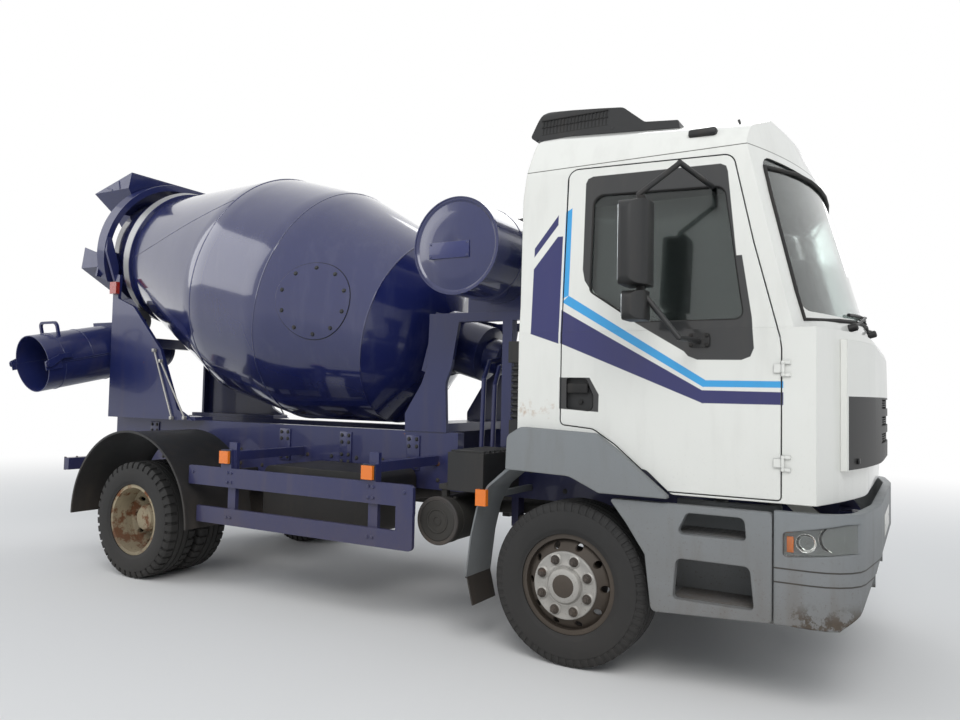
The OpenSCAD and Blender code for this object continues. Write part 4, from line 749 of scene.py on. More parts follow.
class Solid:
    """A mesh under construction, made with bmesh operators and then handed over."""

    def __init__(self) -> None:
        """Starts an empty mesh."""
        self.bm = bmesh.new()

    def box(self, low: Point, high: Point, round_: float = 0.0,
            segments: int = 2) -> "Solid":
        """Adds a block with rounded edges.

        Args:
            low: Its lowest corner.
            high: Its highest corner.
            round_: The radius of its edges, or 0.
            segments: Faces across a rounded edge.

        Returns:
            This solid.
        """
        size = Vector(high) - Vector(low)
        middle = (Vector(high) + Vector(low)) / 2.0
        place = Matrix.Translation(middle) @ Matrix.Diagonal((*size, 1.0))
        made = bmesh.ops.create_cube(self.bm, size=1.0, matrix=place)["verts"]
        if round_:
            bmesh.ops.bevel(self.bm, geom=unique(e for v in made for e in v.link_edges),
                            offset=round_, segments=segments, profile=0.5, affect="EDGES",
                            material=-1)
        return self

    def slab(self, side: Side, xs: Flat, ys: Flat, zs: Flat, round_: float = 0.0,
             segments: int = 2) -> "Solid":
        """Adds a block with rounded edges on one side of the truck.

        Args:
            side: The truck's side.
            xs: Its ends along the truck, counted from the front axle.
            ys: Its ends as distances from the truck's middle.
            zs: Its lowest and its highest place.
            round_: The radius of its edges, or 0.
            segments: Faces across a rounded edge.

        Returns:
            This solid.
        """
        y = side.span(*ys)
        return self.box((at_axle(xs[0]), y[0], zs[0]), (at_axle(xs[1]), y[1], zs[1]), round_,
                        segments)

    def prism(self, outline: Sequence[Flat], low: float, high: float,
              round_: float = 0.0) -> "Solid":
        """Adds a plate: an outline in the side view, pushed across the truck.

        Args:
            outline: Points of the outline, counted from the front axle.
            low: Where the plate starts across the truck.
            high: Where it ends.
            round_: The radius of its edges, or 0.

        Returns:
            This solid.
        """
        verts = [self.bm.verts.new((at_axle(x), low, z)) for x, z in outline]
        face = self.bm.faces.new(verts)
        grown = bmesh.ops.extrude_face_region(self.bm, geom=[face])["geom"]
        top = [v for v in grown if isinstance(v, bmesh.types.BMVert)]
        bmesh.ops.translate(self.bm, vec=(0.0, high - low, 0.0), verts=top)
        faces = unique(f for v in verts + top for f in v.link_faces)
        bmesh.ops.recalc_face_normals(self.bm, faces=faces)
        if round_:
            rim = [e for e in unique(e for f in faces for e in f.edges)
                   if sum(v in top for v in e.verts) != 1]
            bmesh.ops.bevel(self.bm, geom=rim, offset=round_, segments=2, profile=0.5,
                            affect="EDGES", material=-1)
        return self

    def lathe(self, rows: Sequence[Flat], centre: Vector, line: Vector,
              steps: int = 64) -> "Solid":
        """Turns rows of (distance along the line, radius) round a line.

        Args:
            rows: The half section, whose last row joins the first.
            centre: A point on the line, at distance 0.
            line: The line's direction.
            steps: Faces round the turn.

        Returns:
            This solid.
        """
        line = line.normalized()
        side = line.orthogonal().normalized()
        old = set(self.bm.verts)
        verts = [self.bm.verts.new(centre + line * a + side * r) for a, r in rows]
        edges = [self.bm.edges.new(pair) for pair in zip(verts, verts[1:])]
        edges.append(self.bm.edges.new((verts[-1], verts[0])))
        bmesh.ops.spin(self.bm, geom=verts + edges, cent=centre, axis=line,
                       angle=2.0 * math.pi, steps=steps, use_merge=True)
        fresh = [v for v in self.bm.verts if v not in old]
        bmesh.ops.remove_doubles(self.bm, verts=fresh, dist=1e-5)
        bmesh.ops.recalc_face_normals(self.bm, faces=[
            f for f in self.bm.faces if not old.issuperset(f.verts)])
        return self

    def tube(self, path: Sequence[Point], radius: float, sides: int) -> "Solid":
        """Adds a round bar or strip along a path. A ring's path runs over its first two points.

        Args:
            path: Its points.
            radius: Its radius.
            sides: Faces round it.

        Returns:
            This solid.
        """
        points = [Vector(p) for p in path]
        first = (points[1] - points[0]).normalized()
        turn = first.to_track_quat("Z", "Y").to_matrix().to_4x4()
        ring = bmesh.ops.create_circle(self.bm, segments=sides, radius=radius, cap_ends=True,
                                       matrix=Matrix.Translation(points[0]) @ turn)["verts"]
        every = list(ring)
        edges = unique(e for v in ring for e in v.link_edges)
        before = first
        for at, point in enumerate(points[1:], start=1):
            ahead = points[min(at + 1, len(points) - 1)] - point
            behind = (point - points[at - 1]).normalized()
            ahead = ahead.normalized() if ahead.length > 1e-9 else behind
            along = (ahead + behind).normalized()
            grown = bmesh.ops.extrude_edge_only(self.bm, edges=edges)["geom"]
            ring = [g for g in grown if isinstance(g, bmesh.types.BMVert)]
            edges = [g for g in grown if isinstance(g, bmesh.types.BMEdge)]
            every += ring
            spin = before.rotation_difference(along).to_matrix().to_4x4()
            last = points[at - 1]
            bmesh.ops.translate(self.bm, vec=point - last, verts=ring)
            bmesh.ops.rotate(self.bm, cent=point, matrix=spin, verts=ring)
            before = along
        self.bm.faces.new(self.in_order(edges))
        bmesh.ops.recalc_face_normals(self.bm, faces=unique(
            f for v in every for f in v.link_faces))
        return self

    @staticmethod
    def in_order(edges: Sequence[bmesh.types.BMEdge]) -> list[bmesh.types.BMVert]:
        """Walks a ring of edges.

        Args:
            edges: The edges of one closed ring.

        Returns:
            Its vertices in order.
        """
        left = set(edges[1:])
        order = list(edges[0].verts)
        while left:
            step = next((e for e in order[-1].link_edges if e in left), None)
            if step is None:
                break
            left.remove(step)
            order.append(step.other_vert(order[-1]))
        return order[:-1] if order[0] == order[-1] else order

    def nut(self, centre: Vector, line: Vector, radius: float, height: float) -> "Solid":
        """Adds a hexagon nut on a round washer.

        Args:
            centre: The middle of its seat.
            line: The direction that it stands in.
            radius: Half its width over the corners.
            height: Its height.

        Returns:
            This solid.
        """
        washer = radius * 1.35
        turn = line.normalized().to_track_quat("Z", "Y").to_matrix().to_4x4()
        base = Matrix.Translation(centre) @ turn
        bmesh.ops.create_cone(
            self.bm, cap_ends=True, segments=16, radius1=washer, radius2=washer * 0.94,
            depth=height * 0.16, matrix=base @ Matrix.Translation((0, 0, height * 0.08)))
        body = bmesh.ops.create_cone(
            self.bm, cap_ends=True, segments=6, radius1=radius, radius2=radius,
            depth=height * 0.9, matrix=base @ Matrix.Translation((0, 0, height * 0.55)))
        top = [e for e in unique(e for v in body["verts"] for e in v.link_edges)
               if all((base.inverted() @ v.co).z > height * 0.9 for v in e.verts)]
        bmesh.ops.bevel(self.bm, geom=top, offset=radius * 0.14, segments=1, profile=0.5,
                        affect="EDGES", material=-1)
        return self

    def piece(self, name: str, material: bpy.types.Material, body: str,
              smooth: float = 35.0) -> bpy.types.Object:
        """Ends the mesh and makes it a piece of the truck.

        Args:
            name: The piece's name.
            material: Its material.
            body: The body that it rides on.
            smooth: The angle in degrees above which an edge stays sharp.

        Returns:
            The object.
        """
        mesh = bpy.data.meshes.new(name)
        self.bm.to_mesh(mesh)
        self.bm.free()
        mesh.shade_smooth()
        mesh.set_sharp_from_angle(angle=math.radians(smooth))
        mesh.materials.append(material)
        made = bpy.data.objects.new(name, mesh)
        bpy.context.scene.collection.objects.link(made)
        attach(made, body)
        LOG.info("%s: %d faces on %s", name, len(mesh.polygons), body)
        return made


def fillet(rows: Sequence[tuple[float, float, float]], steps: int = 5) -> list[Flat]:
    """Rounds the corners of a closed outline.

    Args:
        rows: Corners, each with the radius that it is rounded to.
        steps: Points on a rounded corner.

    Returns:
        The outline's points.
    """
    points: list[Flat] = []
    for at, (x, y, radius) in enumerate(rows):
        here = Vector((x, y))
        back = (Vector(rows[at - 1][:2]) - here).normalized()
        ahead = (Vector(rows[(at + 1) % len(rows)][:2]) - here).normalized()
        if radius <= 0.0:
            points.append((x, y))
            continue
        half = back.angle(ahead) / 2.0
        reach = radius / math.tan(half)
        first, last = here + back * reach, here + ahead * reach
        centre = here + (back + ahead).normalized() * (radius / math.sin(half))
        for k in range(steps + 1):
            spot = (first.lerp(last, k / steps) - centre).normalized() * radius + centre
            points.append((spot.x, spot.y))
    return points


def on_drum(along: float, up: float = 0.0, across: float = 0.0) -> Vector:
    """A point given in the drum's own directions.

    Args:
        along: Metres along the drum's axis from its front end.
        up: Metres at right angles to the axis, upwards.
        across: Metres to the left.

    Returns:
        The point in the shared frame.
    """
    lift = Vector((math.sin(DRUM_TILT), 0.0, math.cos(DRUM_TILT)))
    return DRUM_START + DRUM_LINE * along + lift * up + Vector((0.0, across, 0.0))


@dataclass
class Studio:
    """The camera at the photograph's angle, a pale floor and soft light."""

    place: Point = (AXLE_X + 1.629, -4.862, 1.417)
    yaw: float = 30.01
    pitch: float = 2.512
    roll: float = 1.159
    lens: float = 28.93
    sensor: float = 36.0
    reach: float = 200.0
    floor_half: float = 60.0
    fade: Flat = (4.5, 13.0)
    sky: Flat = (0.35, 0.65)
    aim: Point = (0.0, 0.0, 1.5)
    lamps: tuple[tuple[str, Point, float, float], ...] = (
        ("Key light", (5.5, -7.5, 8.0), 6.0, 620.0),
        ("Fill light", (-8.0, -6.0, 6.0), 7.0, 300.0),
        ("Back light", (0.0, 9.0, 7.0), 7.0, 300.0))

    def camera(self) -> None:
        """Puts the camera where the photograph was taken from."""
        yaw, pitch, roll = (math.radians(v) for v in (self.yaw, self.pitch, self.roll))
        ahead = Vector((-math.sin(yaw) * math.cos(pitch), math.cos(yaw) * math.cos(pitch),
                        math.sin(pitch)))
        right = Vector((math.cos(yaw), math.sin(yaw), 0.0))
        up = right.cross(ahead)
        across = right * math.cos(roll) + up * math.sin(roll)
        upward = up * math.cos(roll) - right * math.sin(roll)
        data = bpy.data.cameras.new("Photo camera")
        data.lens, data.sensor_width = self.lens, self.sensor
        data.clip_end = self.reach
        eye = bpy.data.objects.new("Photo camera", data)
        bpy.context.scene.collection.objects.link(eye)
        eye.matrix_world = Matrix((
            (across.x, upward.x, -ahead.x, self.place[0]),
            (across.y, upward.y, -ahead.y, self.place[1]),
            (across.z, upward.z, -ahead.z, self.place[2]), (0.0, 0.0, 0.0, 1.0)))
        bpy.context.scene.camera = eye

    @staticmethod
    def seen(n: Nodes) -> Socket:
        """1 for rays that show the background itself, in metal and glass too.

        Args:
            n: The helper of the tree.

        Returns:
            The mask's output.
        """
        rays = n.add("ShaderNodeLightPath").outputs
        return n.math("MAXIMUM", n.math("MAXIMUM", rays["Is Camera Ray"], rays[
            "Is Transmission Ray"]), rays["Is Glossy Ray"])

    def floor(self) -> None:
        """Lays a wide pale floor that shows white far away and keeps the shadow."""
        bm = bmesh.new()
        bmesh.ops.create_grid(bm, x_segments=2, y_segments=2, size=self.floor_half)
        mesh = bpy.data.meshes.new("Floor")
        bm.to_mesh(mesh)
        bm.free()
        floor = bpy.data.objects.new("Floor", mesh)
        bpy.context.scene.collection.objects.link(floor)
        material = bpy.data.materials.new("Pale floor")
        material.use_nodes = True
        n = Nodes(material.node_tree)
        shader = n.tree.nodes["Principled BSDF"]
        place = n.add("ShaderNodeTexCoord").outputs["Object"]
        shader.inputs["Base Color"].default_value = (*tint("dedddb"), 1.0)
        shader.inputs["Roughness"].default_value = 0.85
        far = n.ramp(n.vector("LENGTH", place).outputs["Value"], *self.fade)
        white = n.add("ShaderNodeEmission", {"Color": (1.0, 1.0, 1.0), "Strength": 1.0})
        both = n.add("ShaderNodeMixShader", {0: n.math("MULTIPLY", far, self.seen(n)),
                                             1: shader.outputs[0], 2: white.outputs[0]})
        n.feed(n.tree.nodes["Material Output"].inputs["Surface"], both.outputs[0])
        mesh.materials.append(material)

    def light(self) -> None:
        """Lights the truck like a bright overcast sky."""
        world = bpy.data.worlds.new("Soft sky")
        bpy.context.scene.world = world
        world.use_nodes = True
        n = Nodes(world.node_tree)
        back = n.tree.nodes["Background"]
        seen = self.seen(n)
        n.feed(back.inputs["Color"], n.mix(seen, tint("dfe6ee"), (1.0, 1.0, 1.0)))
        n.feed(back.inputs["Strength"], n.math("MULTIPLY_ADD", seen, *self.sky))
        for name, place, size, power in self.lamps:
            data = bpy.data.lights.new(name, "AREA")
            data.size, data.energy = size, power
            lamp = bpy.data.objects.new(name, data)
            bpy.context.scene.collection.objects.link(lamp)
            lamp.location = place
            aim = Vector(self.aim) - Vector(place)
            lamp.rotation_euler = aim.to_track_quat("-Z", "Y").to_euler()

    def build(self) -> None:
        """Makes the camera, the floor and the light."""
        self.camera()
        self.floor()
        self.light()
        bpy.context.scene.view_settings.view_transform = "Standard"


@dataclass
class Dressing:
    """Gives every construction node its material and smooth shading."""

    paints: Paints

    def build(self) -> None:
        """Dresses all the nodes of the frame."""
        p = self.paints
        coats = {
            "frame": p.navy, "axles": p.steel, "leaf_springs": p.steel,
            "powertrain": p.steel, "tanks": p.black, "silencer": p.silencer,
            "bumper": p.bumper, "lamps": p.amber, "cab_steps": p.grey,
            "side_guards": p.navy, "mudguards": p.guards, "front_pedestal": p.navy,
            "rear_pedestal": p.navy, "drum_drive": p.navy, "water_tank": p.tank,
            "hopper": p.navy, "roller": p.roller, "knuckle": p.steel, "track_rod": p.steel,
            "rim_front": p.front_rim, "tyre": p.tyre, "rims_rear": p.rear_rim,
            "cab_shell": p.cab, "front_lid": p.lid, "cab_glass": p.glass,
            "cab_fenders": p.grey, "dashboard": p.trim, "seats": p.fabric,
            "roof_unit": p.black, "door_glass": p.glass, "door": p.cab, "mirror": p.black,
            "drum": p.drum, "chute": p.navy,
        }
        for name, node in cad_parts.items():
            key = next(k for k in sorted(coats, key=len, reverse=True) if name.startswith(k))
            node.data.materials.clear()
            node.data.materials.append(coats[key])
            shade = node.modifiers.new("Smooth shading", "NODES")
            shade.node_group = p.effects.smoothing


@dataclass
class Wheels:
    """Tyres with their tread, wheel nuts and hub caps.

    Rows of a section are (distance outwards, radius).
    """

    paints: Paints
    tyre_r: float = 0.430
    tyre_w: float = 0.262
    rim_r: float = 0.248
    rim_half: float = 0.0985
    flange_r: float = 0.261
    disc_gap: float = 0.126
    disc_t: float = 0.014
    front_y: float = 0.969
    rear_y: float = 1.019
    twin_pitch: float = 0.280
    stud_r: float = 0.1375
    stud_count: int = 8
    nut_r: float = 0.0185
    front_nut_h: float = 0.022
    rear_nut_h: float = 0.026
    pad: float = 0.012
    steps: int = 120
    ribs: tuple[float, ...] = (-0.078, -0.027, 0.027, 0.078)
    lugs: tuple[float, ...] = (-0.046, 0.0, 0.046)
    ring_rows: tuple[Flat, ...] = (
        (0.0, 0.098), (0.006, 0.096), (0.008, 0.104), (0.004, 0.114), (0.004, 0.158),
        (0.008, 0.166), (0.007, 0.173), (0.0, 0.176))
    pad_rows: tuple[Flat, ...] = (
        (0.003, 0.0), (0.012, 0.0), (0.012, 0.026), (0.008, 0.031), (0.003, 0.033))
    cap_rows: tuple[Flat, ...] = (
        (0.0, 0.097), (0.012, 0.095), (0.024, 0.086), (0.028, 0.072), (0.029, 0.040),
        (0.029, 0.0), (0.0, 0.0))
    recess_rows: tuple[Flat, ...] = ((0.0, 0.0), (0.0008, 0.0), (0.0008, 0.0252), (0.0, 0.0255))

    def half_section(self, grooves: Sequence[float]) -> list[Flat]:
        """The closed section of a tyre, (across, radius), with its grooves.

        Args:
            grooves: The grooves' middles across the tread.

        Returns:
            The rows of the section.
        """
        w, r, bead = self.tyre_w, self.tyre_r, self.rim_half
        rows = [(-bead, self.rim_r + 0.0005), (bead, self.rim_r + 0.0005),
                (bead, self.flange_r + 0.001), (0.45 * w, self.flange_r + 0.001),
                (0.468 * w, self.rim_r + 0.030), (0.478 * w, self.rim_r + 0.034),
                (0.486 * w, self.rim_r + 0.044), (0.497 * w, self.rim_r + 0.070),
                (0.500 * w, self.rim_r + 0.090), (0.497 * w, self.rim_r + 0.110),
                (0.484 * w, r - 0.052), (0.476 * w, r - 0.050), (0.468 * w, r - 0.034),
                (0.448 * w, r - 0.018), (0.430 * w, r - 0.010), (0.405 * w, r - 0.004)]
        side = rows[2:]
        for middle in sorted(grooves, reverse=True):
            top = r - abs(middle) * 0.025
            rows += [(middle + 0.0055, top), (middle + 0.0035, r - 0.013),
                     (middle - 0.0035, r - 0.013), (middle - 0.0055, top)]
        return rows + [(-a, b) for a, b in reversed(side)]

    def tyre(self, solid: Solid, x: float, y: float, lugged: bool) -> None:
        """Adds one tyre.

        Args:
            solid: The mesh that it is added to.
            x: Its axle's place along the truck.
            y: Its middle across the truck.
            lugged: Whether its shoulders are cut into lugs.
        """
        centre = Vector((x, y, AXLE_Z))
        solid.lathe(self.half_section(self.lugs if lugged else self.ribs), centre,
                    Vector((0, 1, 0)), self.steps)
        inner, period, depth = (0.060, 3, 0.011) if lugged else (0.106, 2, 0.004)
        shoulder = []
        for face in solid.bm.faces:
            spot = face.calc_center_median() - centre
            out = math.hypot(spot.x, spot.z)
            if abs(spot.y) > 0.14 or out < self.tyre_r - 0.048:
                continue
            turn = math.degrees(math.atan2(spot.z, spot.x)) % 360.0
            if inner < abs(spot.y) and int(turn / (360.0 / self.steps)) % period == 0:
                shoulder.append(face)
        bmesh.ops.inset_region(solid.bm, faces=shoulder, thickness=0.0022, depth=-depth,
                               use_even_offset=True, use_boundary=True)

    def studs(self, middle: Vector) -> list[Vector]:
        """The places of a wheel's studs.

        Args:
            middle: The wheel's middle, on the face that the studs stand on.

        Returns:
            One point for each stud.
        """
        turns = [2.0 * math.pi * (k + 0.5) / self.stud_count for k in range(self.stud_count)]
        return [middle + Vector((self.stud_r * math.cos(t), 0.0, self.stud_r * math.sin(t)))
                for t in turns]

    def nuts(self, middle: Vector, side: Side, height: float) -> Solid:
        """Makes a circle of wheel nuts with their stud ends.

        Args:
            middle: The wheel's middle, on the face that the nuts stand on.
            side: The truck's side.
            height: The nuts' height.

        Returns:
            The nuts.
        """
        solid, end = Solid(), height + 0.008
        for spot in self.studs(middle):
            solid.nut(spot, side.out, self.nut_r, height)
            solid.lathe([(0.0, 0.0), (end, 0.0), (end, 0.009), (height + 0.006, 0.0105),
                         (0.0, 0.0105)], spot, side.out, 12)
        return solid

    def front(self, side: Side) -> None:
        """Dresses a front wheel.

        Args:
            side: The truck's side.
        """
        body = f"wheel_front_{side.word}"
        tyre = Solid()
        self.tyre(tyre, at_axle(0.0), side.value * self.front_y, lugged=False)
        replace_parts(tyre.piece(f"front_tyre_{side.word}_tread", self.paints.tyre, body),
                    f"tyre_front_{side.word}")
        face = self.front_y + self.disc_gap + self.disc_t
        middle = Vector((at_axle(0.0), side.value * face, AXLE_Z))
        ring = Solid().lathe(self.ring_rows, middle, side.out, 96)
        for spot in self.studs(middle):
            ring.lathe(self.pad_rows, spot, side.out, 20)
        ring.lathe(self.cap_rows, middle, side.out, 48)
        ring.piece(f"nut_ring_{side.word}", self.paints.silver, body)
        middle = Vector((at_axle(0.0), side.value * (face + self.pad), AXLE_Z))
        nuts = self.nuts(middle, side, self.front_nut_h)
        for spot in self.studs(middle):
            nuts.lathe(self.recess_rows, spot, side.out, 20)
        nuts.piece(f"front_nuts_{side.word}", self.paints.steel, body)

    def rear(self, side: Side) -> None:
        """Dresses a pair of rear wheels.

        Args:
            side: The truck's side.
        """
        body = f"wheels_rear_{side.word}"
        x = at_axle(-WHEELBASE)
        for mark, y in (("outer", self.rear_y), ("inner", self.rear_y - self.twin_pitch)):
            tyre = Solid()
            self.tyre(tyre, x, side.value * y, lugged=True)
            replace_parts(tyre.piece(f"rear_tyre_{side.word}_{mark}", self.paints.tyre, body),
                        f"tyres_rear_{side.word}")
        face = self.rear_y - self.disc_gap + 0.0005
        nuts = self.nuts(Vector((x, side.value * face, AXLE_Z)), side, self.rear_nut_h)
        nuts.piece(f"rear_nuts_{side.word}", self.paints.rear_rim, body)

    def build(self) -> None:
        """Dresses all the wheels."""
        for side in Side:
            self.front(side)
            self.rear(side)


@dataclass
class Drum:
    """The drum's weld seams, the hatch's bolts and joint, and the worn running track."""

    paints: Paints
    belly_r: float = 0.942
    mouth_s: float = 3.420
    mouth_r: float = 0.462
    ring_s: float = 3.0
    ring_r: float = 0.622
    ring_w: float = 0.084
    hatch_s: float = 0.610
    hatch_up: float = 0.070
    hatch_r: float = 0.270
    hatch_t: float = 0.006
    hatch_bolts: int = 10
    seam_s: tuple[float, ...] = (0.2, 1.025, 1.716, 3.16)
    blades: tuple[float, ...] = (48.0, 168.0, 288.0)
    steps: int = 120

    def outer(self, s: float) -> float:
        """The shell's outer radius.

        Args:
            s: Distance along the axis.

        Returns:
            The radius.
        """
        rows = [(0.02, 0.478), (0.2, 0.75), (1.025, 0.99), (1.716, 1.0),
                (self.mouth_s, self.mouth_r / self.belly_r)]
        for (s0, r0), (s1, r1) in zip(rows, rows[1:]):
            if s <= s1:
                return self.belly_r * (r0 + (r1 - r0) * (s - s0) / (s1 - s0))
        return self.mouth_r

    def skin(self, along: float, turn: float) -> Vector:
        """A point on the shell's outer face.

        Args:
            along: Distance along the axis.
            turn: Degrees from straight up towards the truck's right side.

        Returns:
            The point.
        """
        radius, angle = self.outer(along), math.radians(turn)
        return on_drum(along, radius * math.cos(angle), -radius * math.sin(angle))

    def seams(self) -> None:
        """Adds the weld seams between the cones and the lines of the mixing blades."""
        weld = Solid()
        for s in self.seam_s:
            r = self.outer(s)
            weld.lathe([(s - 0.007, r - 0.002), (s - 0.003, r + 0.0022), (s + 0.003, r + 0.0022),
                        (s + 0.007, r - 0.002)], DRUM_START, DRUM_LINE, self.steps)
        for start in self.blades:
            weld.tube([tuple(self.skin(1.74 + 1.16 * k / 28, start + 46.0 * k / 28))
                       for k in range(29)], 0.003, 6)
        weld.piece("drum_weld_seams", self.paints.drum, "drum")

    def round_hatch(self, turn: float, reach: float, lift: float) -> tuple[Vector, Vector]:
        """A point round the hatch on the drum's front cone.

        Args:
            turn: Degrees round the hatch, from its top.
            reach: Metres from the hatch's middle.
            lift: Metres off the shell.

        Returns:
            The point and the outward direction there.
        """
        turn = math.radians(turn)
        up = self.hatch_up + reach * math.cos(turn)
        along = self.hatch_s + reach * math.sin(turn)
        r = self.outer(along) + lift
        across = -math.sqrt(r * r - up * up)
        out = on_drum(0.0, up / r, across / r) - DRUM_START - DRUM_LINE * 0.27
        return on_drum(along, up, across), out.normalized()

    def hatch(self) -> None:
        """Adds the bolts and the dark joint of the round hatch on the front cone."""
        bolts, joint = Solid(), Solid()
        for k in range(self.hatch_bolts):
            spot, out = self.round_hatch(360.0 * k / self.hatch_bolts + 14.0,
                                         self.hatch_r - 0.036, self.hatch_t)
            bolts.nut(spot, out, 0.0115, 0.009)
        joint.tube([tuple(self.round_hatch(5.0 * k, self.hatch_r + 0.001, 0.001)[0])
                    for k in range(73)], 0.0028, 6)
        bolts.piece("hatch_bolts", self.paints.steel, "drum")
        joint.piece("hatch_joint", self.paints.rubber, "drum")

    def ring(self) -> None:
        """Adds the bright worn track on the running ring."""
        half = self.ring_w / 2.0 - 0.008
        low, high = self.ring_r - 0.001, self.ring_r + 0.0002
        track = Solid().lathe([(self.ring_s - half, low), (self.ring_s - half, high),
                               (self.ring_s + half, high), (self.ring_s + half, low)],
                              DRUM_START, DRUM_LINE, self.steps)
        track.piece("running_track", self.paints.roller, "drum")

    def build(self) -> None:
        """Adds the drum's details."""
        self.seams()
        self.hatch()
        self.ring()


@dataclass
class WaterTank:
    """The tank behind the cab: its blank plates, its bands and its filler cap."""

    paints: Paints
    x: float = -0.800
    z: float = 2.300
    radius: float = 0.290
    half: float = 1.000
    steps: int = 96
    band_y: tuple[float, ...] = (-0.62, 0.0, 0.62)
    plate_x: Flat = (-0.170, 0.110)
    plate_z: Flat = (2.222, 2.322)
    plate_t: float = 0.006
    cap_rows: tuple[Flat, ...] = ((0.323, 0.0), (0.323, 0.078), (0.338, 0.082), (0.352, 0.080),
                                  (0.358, 0.066), (0.360, 0.0))

    def bands(self, middle: Vector) -> None:
        """Adds the bands round the tank and at its ends.

        Args:
            middle: The tank's middle.
        """
        bands, across, r = Solid(), Vector((0, 1, 0)), self.radius
        for y in self.band_y:
            bands.lathe([(y - 0.030, r + 0.0002), (y - 0.029, r + 0.003), (y + 0.029, r + 0.003),
                         (y + 0.030, r + 0.0002)], middle, across, self.steps)
        for side in Side:
            near, far = side.value * (self.half - 0.034), side.value * (self.half - 0.018)
            bands.lathe([(near, r - 0.002), (near, r + 0.006), (far, r + 0.006),
                         (far, r - 0.002)], middle, across, self.steps)
        bands.piece("water_tank_bands", self.paints.tank, "chassis")

    def plates(self) -> None:
        """Adds a blank plate with four screws on each end."""
        plates, face, edge = Solid(), self.half - 0.001, 0.012
        x0, x1 = (self.x + v for v in self.plate_x)
        z0, z1 = self.plate_z
        for side in Side:
            plates.slab(side, (x0, x1), (face, face + self.plate_t), self.plate_z, 0.002)
            for x in (x0 + edge, x1 - edge):
                for z in (z0 + edge, z1 - edge):
                    plates.nut(Vector((at_axle(x), side.value * (face + self.plate_t), z)),
                               side.out, 0.006, 0.004)
        plates.piece("water_tank_plates", self.paints.plate, "chassis")

    def build(self) -> None:
        """Adds the tank's details."""
        middle = Vector((at_axle(self.x), 0.0, self.z))
        self.bands(middle)
        self.plates()
        cap = Solid().lathe(self.cap_rows, middle, Vector((0, 0, 1)), 40)
        for turn in (math.radians(60 * k) for k in range(6)):
            cap.tube([(middle.x + r * math.cos(turn), r * math.sin(turn), z)
                      for r, z in ((0.074, 2.628), (0.094, 2.650))], 0.006, 8)
        cap.piece("water_tank_cap", self.paints.black, "chassis")


@dataclass
class Lamps:
    """Headlamps with their bowls, side lamps, tail lamps and the lamp by the chute."""

    paints: Paints
    front_x: float = 1.0
    back_x: float = -4.5
    bowls_at: tuple[tuple[float, float, float, float, float], ...] = (
        (1.262, 1.098, 0.806, 0.054, 0.55), (1.165, 1.112, 0.782, 0.040, 0.10))
    bulb_rows: tuple[Flat, ...] = ((-0.003, 0.0), (-0.003, 0.009), (0.008, 0.009),
                                   (0.014, 0.005), (0.016, 0.0))
    liner: tuple[Point, ...] = ((1.080, 0.722, 0.012), (1.215, 0.738, 0.0),
                                (1.215, 0.842, 0.0), (1.080, 0.816, 0.012))
    side_lamps: tuple[Flat, ...] = ((-2.515, 0.950), (-1.285, 0.930))
    tail_bars: tuple[Flat, ...] = ((0.552, 0.560), (0.656, 0.662), (0.756, 0.762),
                                   (0.860, 0.868))

    def carve(self, name: str, keep: Callable[[float], bool],
              material: bpy.types.Material) -> None:
        """Makes a piece from the lamp solids that pass a test.

        Args:
            name: The new piece's name.
            keep: Says by the place of a solid's middle along the truck whether it belongs.
            material: Its material.
        """
        solid = Solid()
        solid.bm.from_mesh(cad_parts["lamps"].data)
        bmesh.ops.remove_doubles(solid.bm, verts=solid.bm.verts[:], dist=1e-5)
        left = set(solid.bm.verts)
        while left:
            island, edge = set(), [left.pop()]
            while edge:
                vert = edge.pop()
                island.add(vert)
                near = {e.other_vert(vert) for e in vert.link_edges} & left
                left -= near
                edge += near
            middle = sum((v.co for v in island), Vector()) / len(island)
            if not keep(middle.x - AXLE_X):
                bmesh.ops.delete(solid.bm, geom=list(island), context="VERTS")
        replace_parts(solid.piece(name, material, "chassis", 25.0), "lamps")

    def bowls(self) -> None:
        """Adds bowls, bulbs and the orange part behind each headlamp's lens."""
        chrome, bulb, amber = Solid(), Solid(), Solid()
        for side in Side:
            for x, y, z, radius, ahead in self.bowls_at:
                line = Vector((ahead, side.value, 0.0)).normalized()
                seat = Vector((at_axle(x), side.value * y, z))
                chrome.lathe([(-0.004, 0.0), (-0.003, radius * 0.4), (0.004, radius * 0.75),
                              (0.014, radius), (0.015, radius + 0.003), (0.010, radius + 0.003),
                              (-0.006, radius * 0.6), (-0.008, 0.0)], seat, line, 40)
                bulb.lathe(self.bulb_rows, seat, line, 16)
            amber.slab(side, (1.086, 1.116), (1.112, 1.128), (0.734, 0.806), 0.004)
            chrome.prism(fillet(self.liner), *side.span(1.1055, 1.1075))
        chrome.piece("headlamp_bowls", self.paints.chrome, "chassis")
        bulb.piece("headlamp_bulbs", self.paints.lens, "chassis")
        amber.piece("indicator_lamps", self.paints.amber, "chassis")

    def rims(self) -> None:
        """Adds dark frames behind the side lamps and round the tail lamps."""
        solid, half = Solid(), 0.048
        for side in Side:
            for x, z in self.side_lamps:
                solid.slab(side, (x - half, x + half), (1.1302, 1.1370), (z - half, z + half),
                           0.003)
            for ys in self.tail_bars:
                solid.slab(side, (-4.788, -4.7615), ys, (0.694, 0.806), 0.002)
        solid.piece("lamp_frames", self.paints.black, "chassis")

    def build(self) -> None:
        """Makes the lenses and what is behind and round them."""
        p = self.paints
        self.carve("headlamp_lenses", lambda x: x > self.front_x, p.lens)
        self.carve("side_lamp_lenses", lambda x: self.back_x < x < self.front_x, p.amber)
        self.carve("tail_lamp_lenses", lambda x: x < self.back_x, p.red)
        self.bowls()
        self.rims()


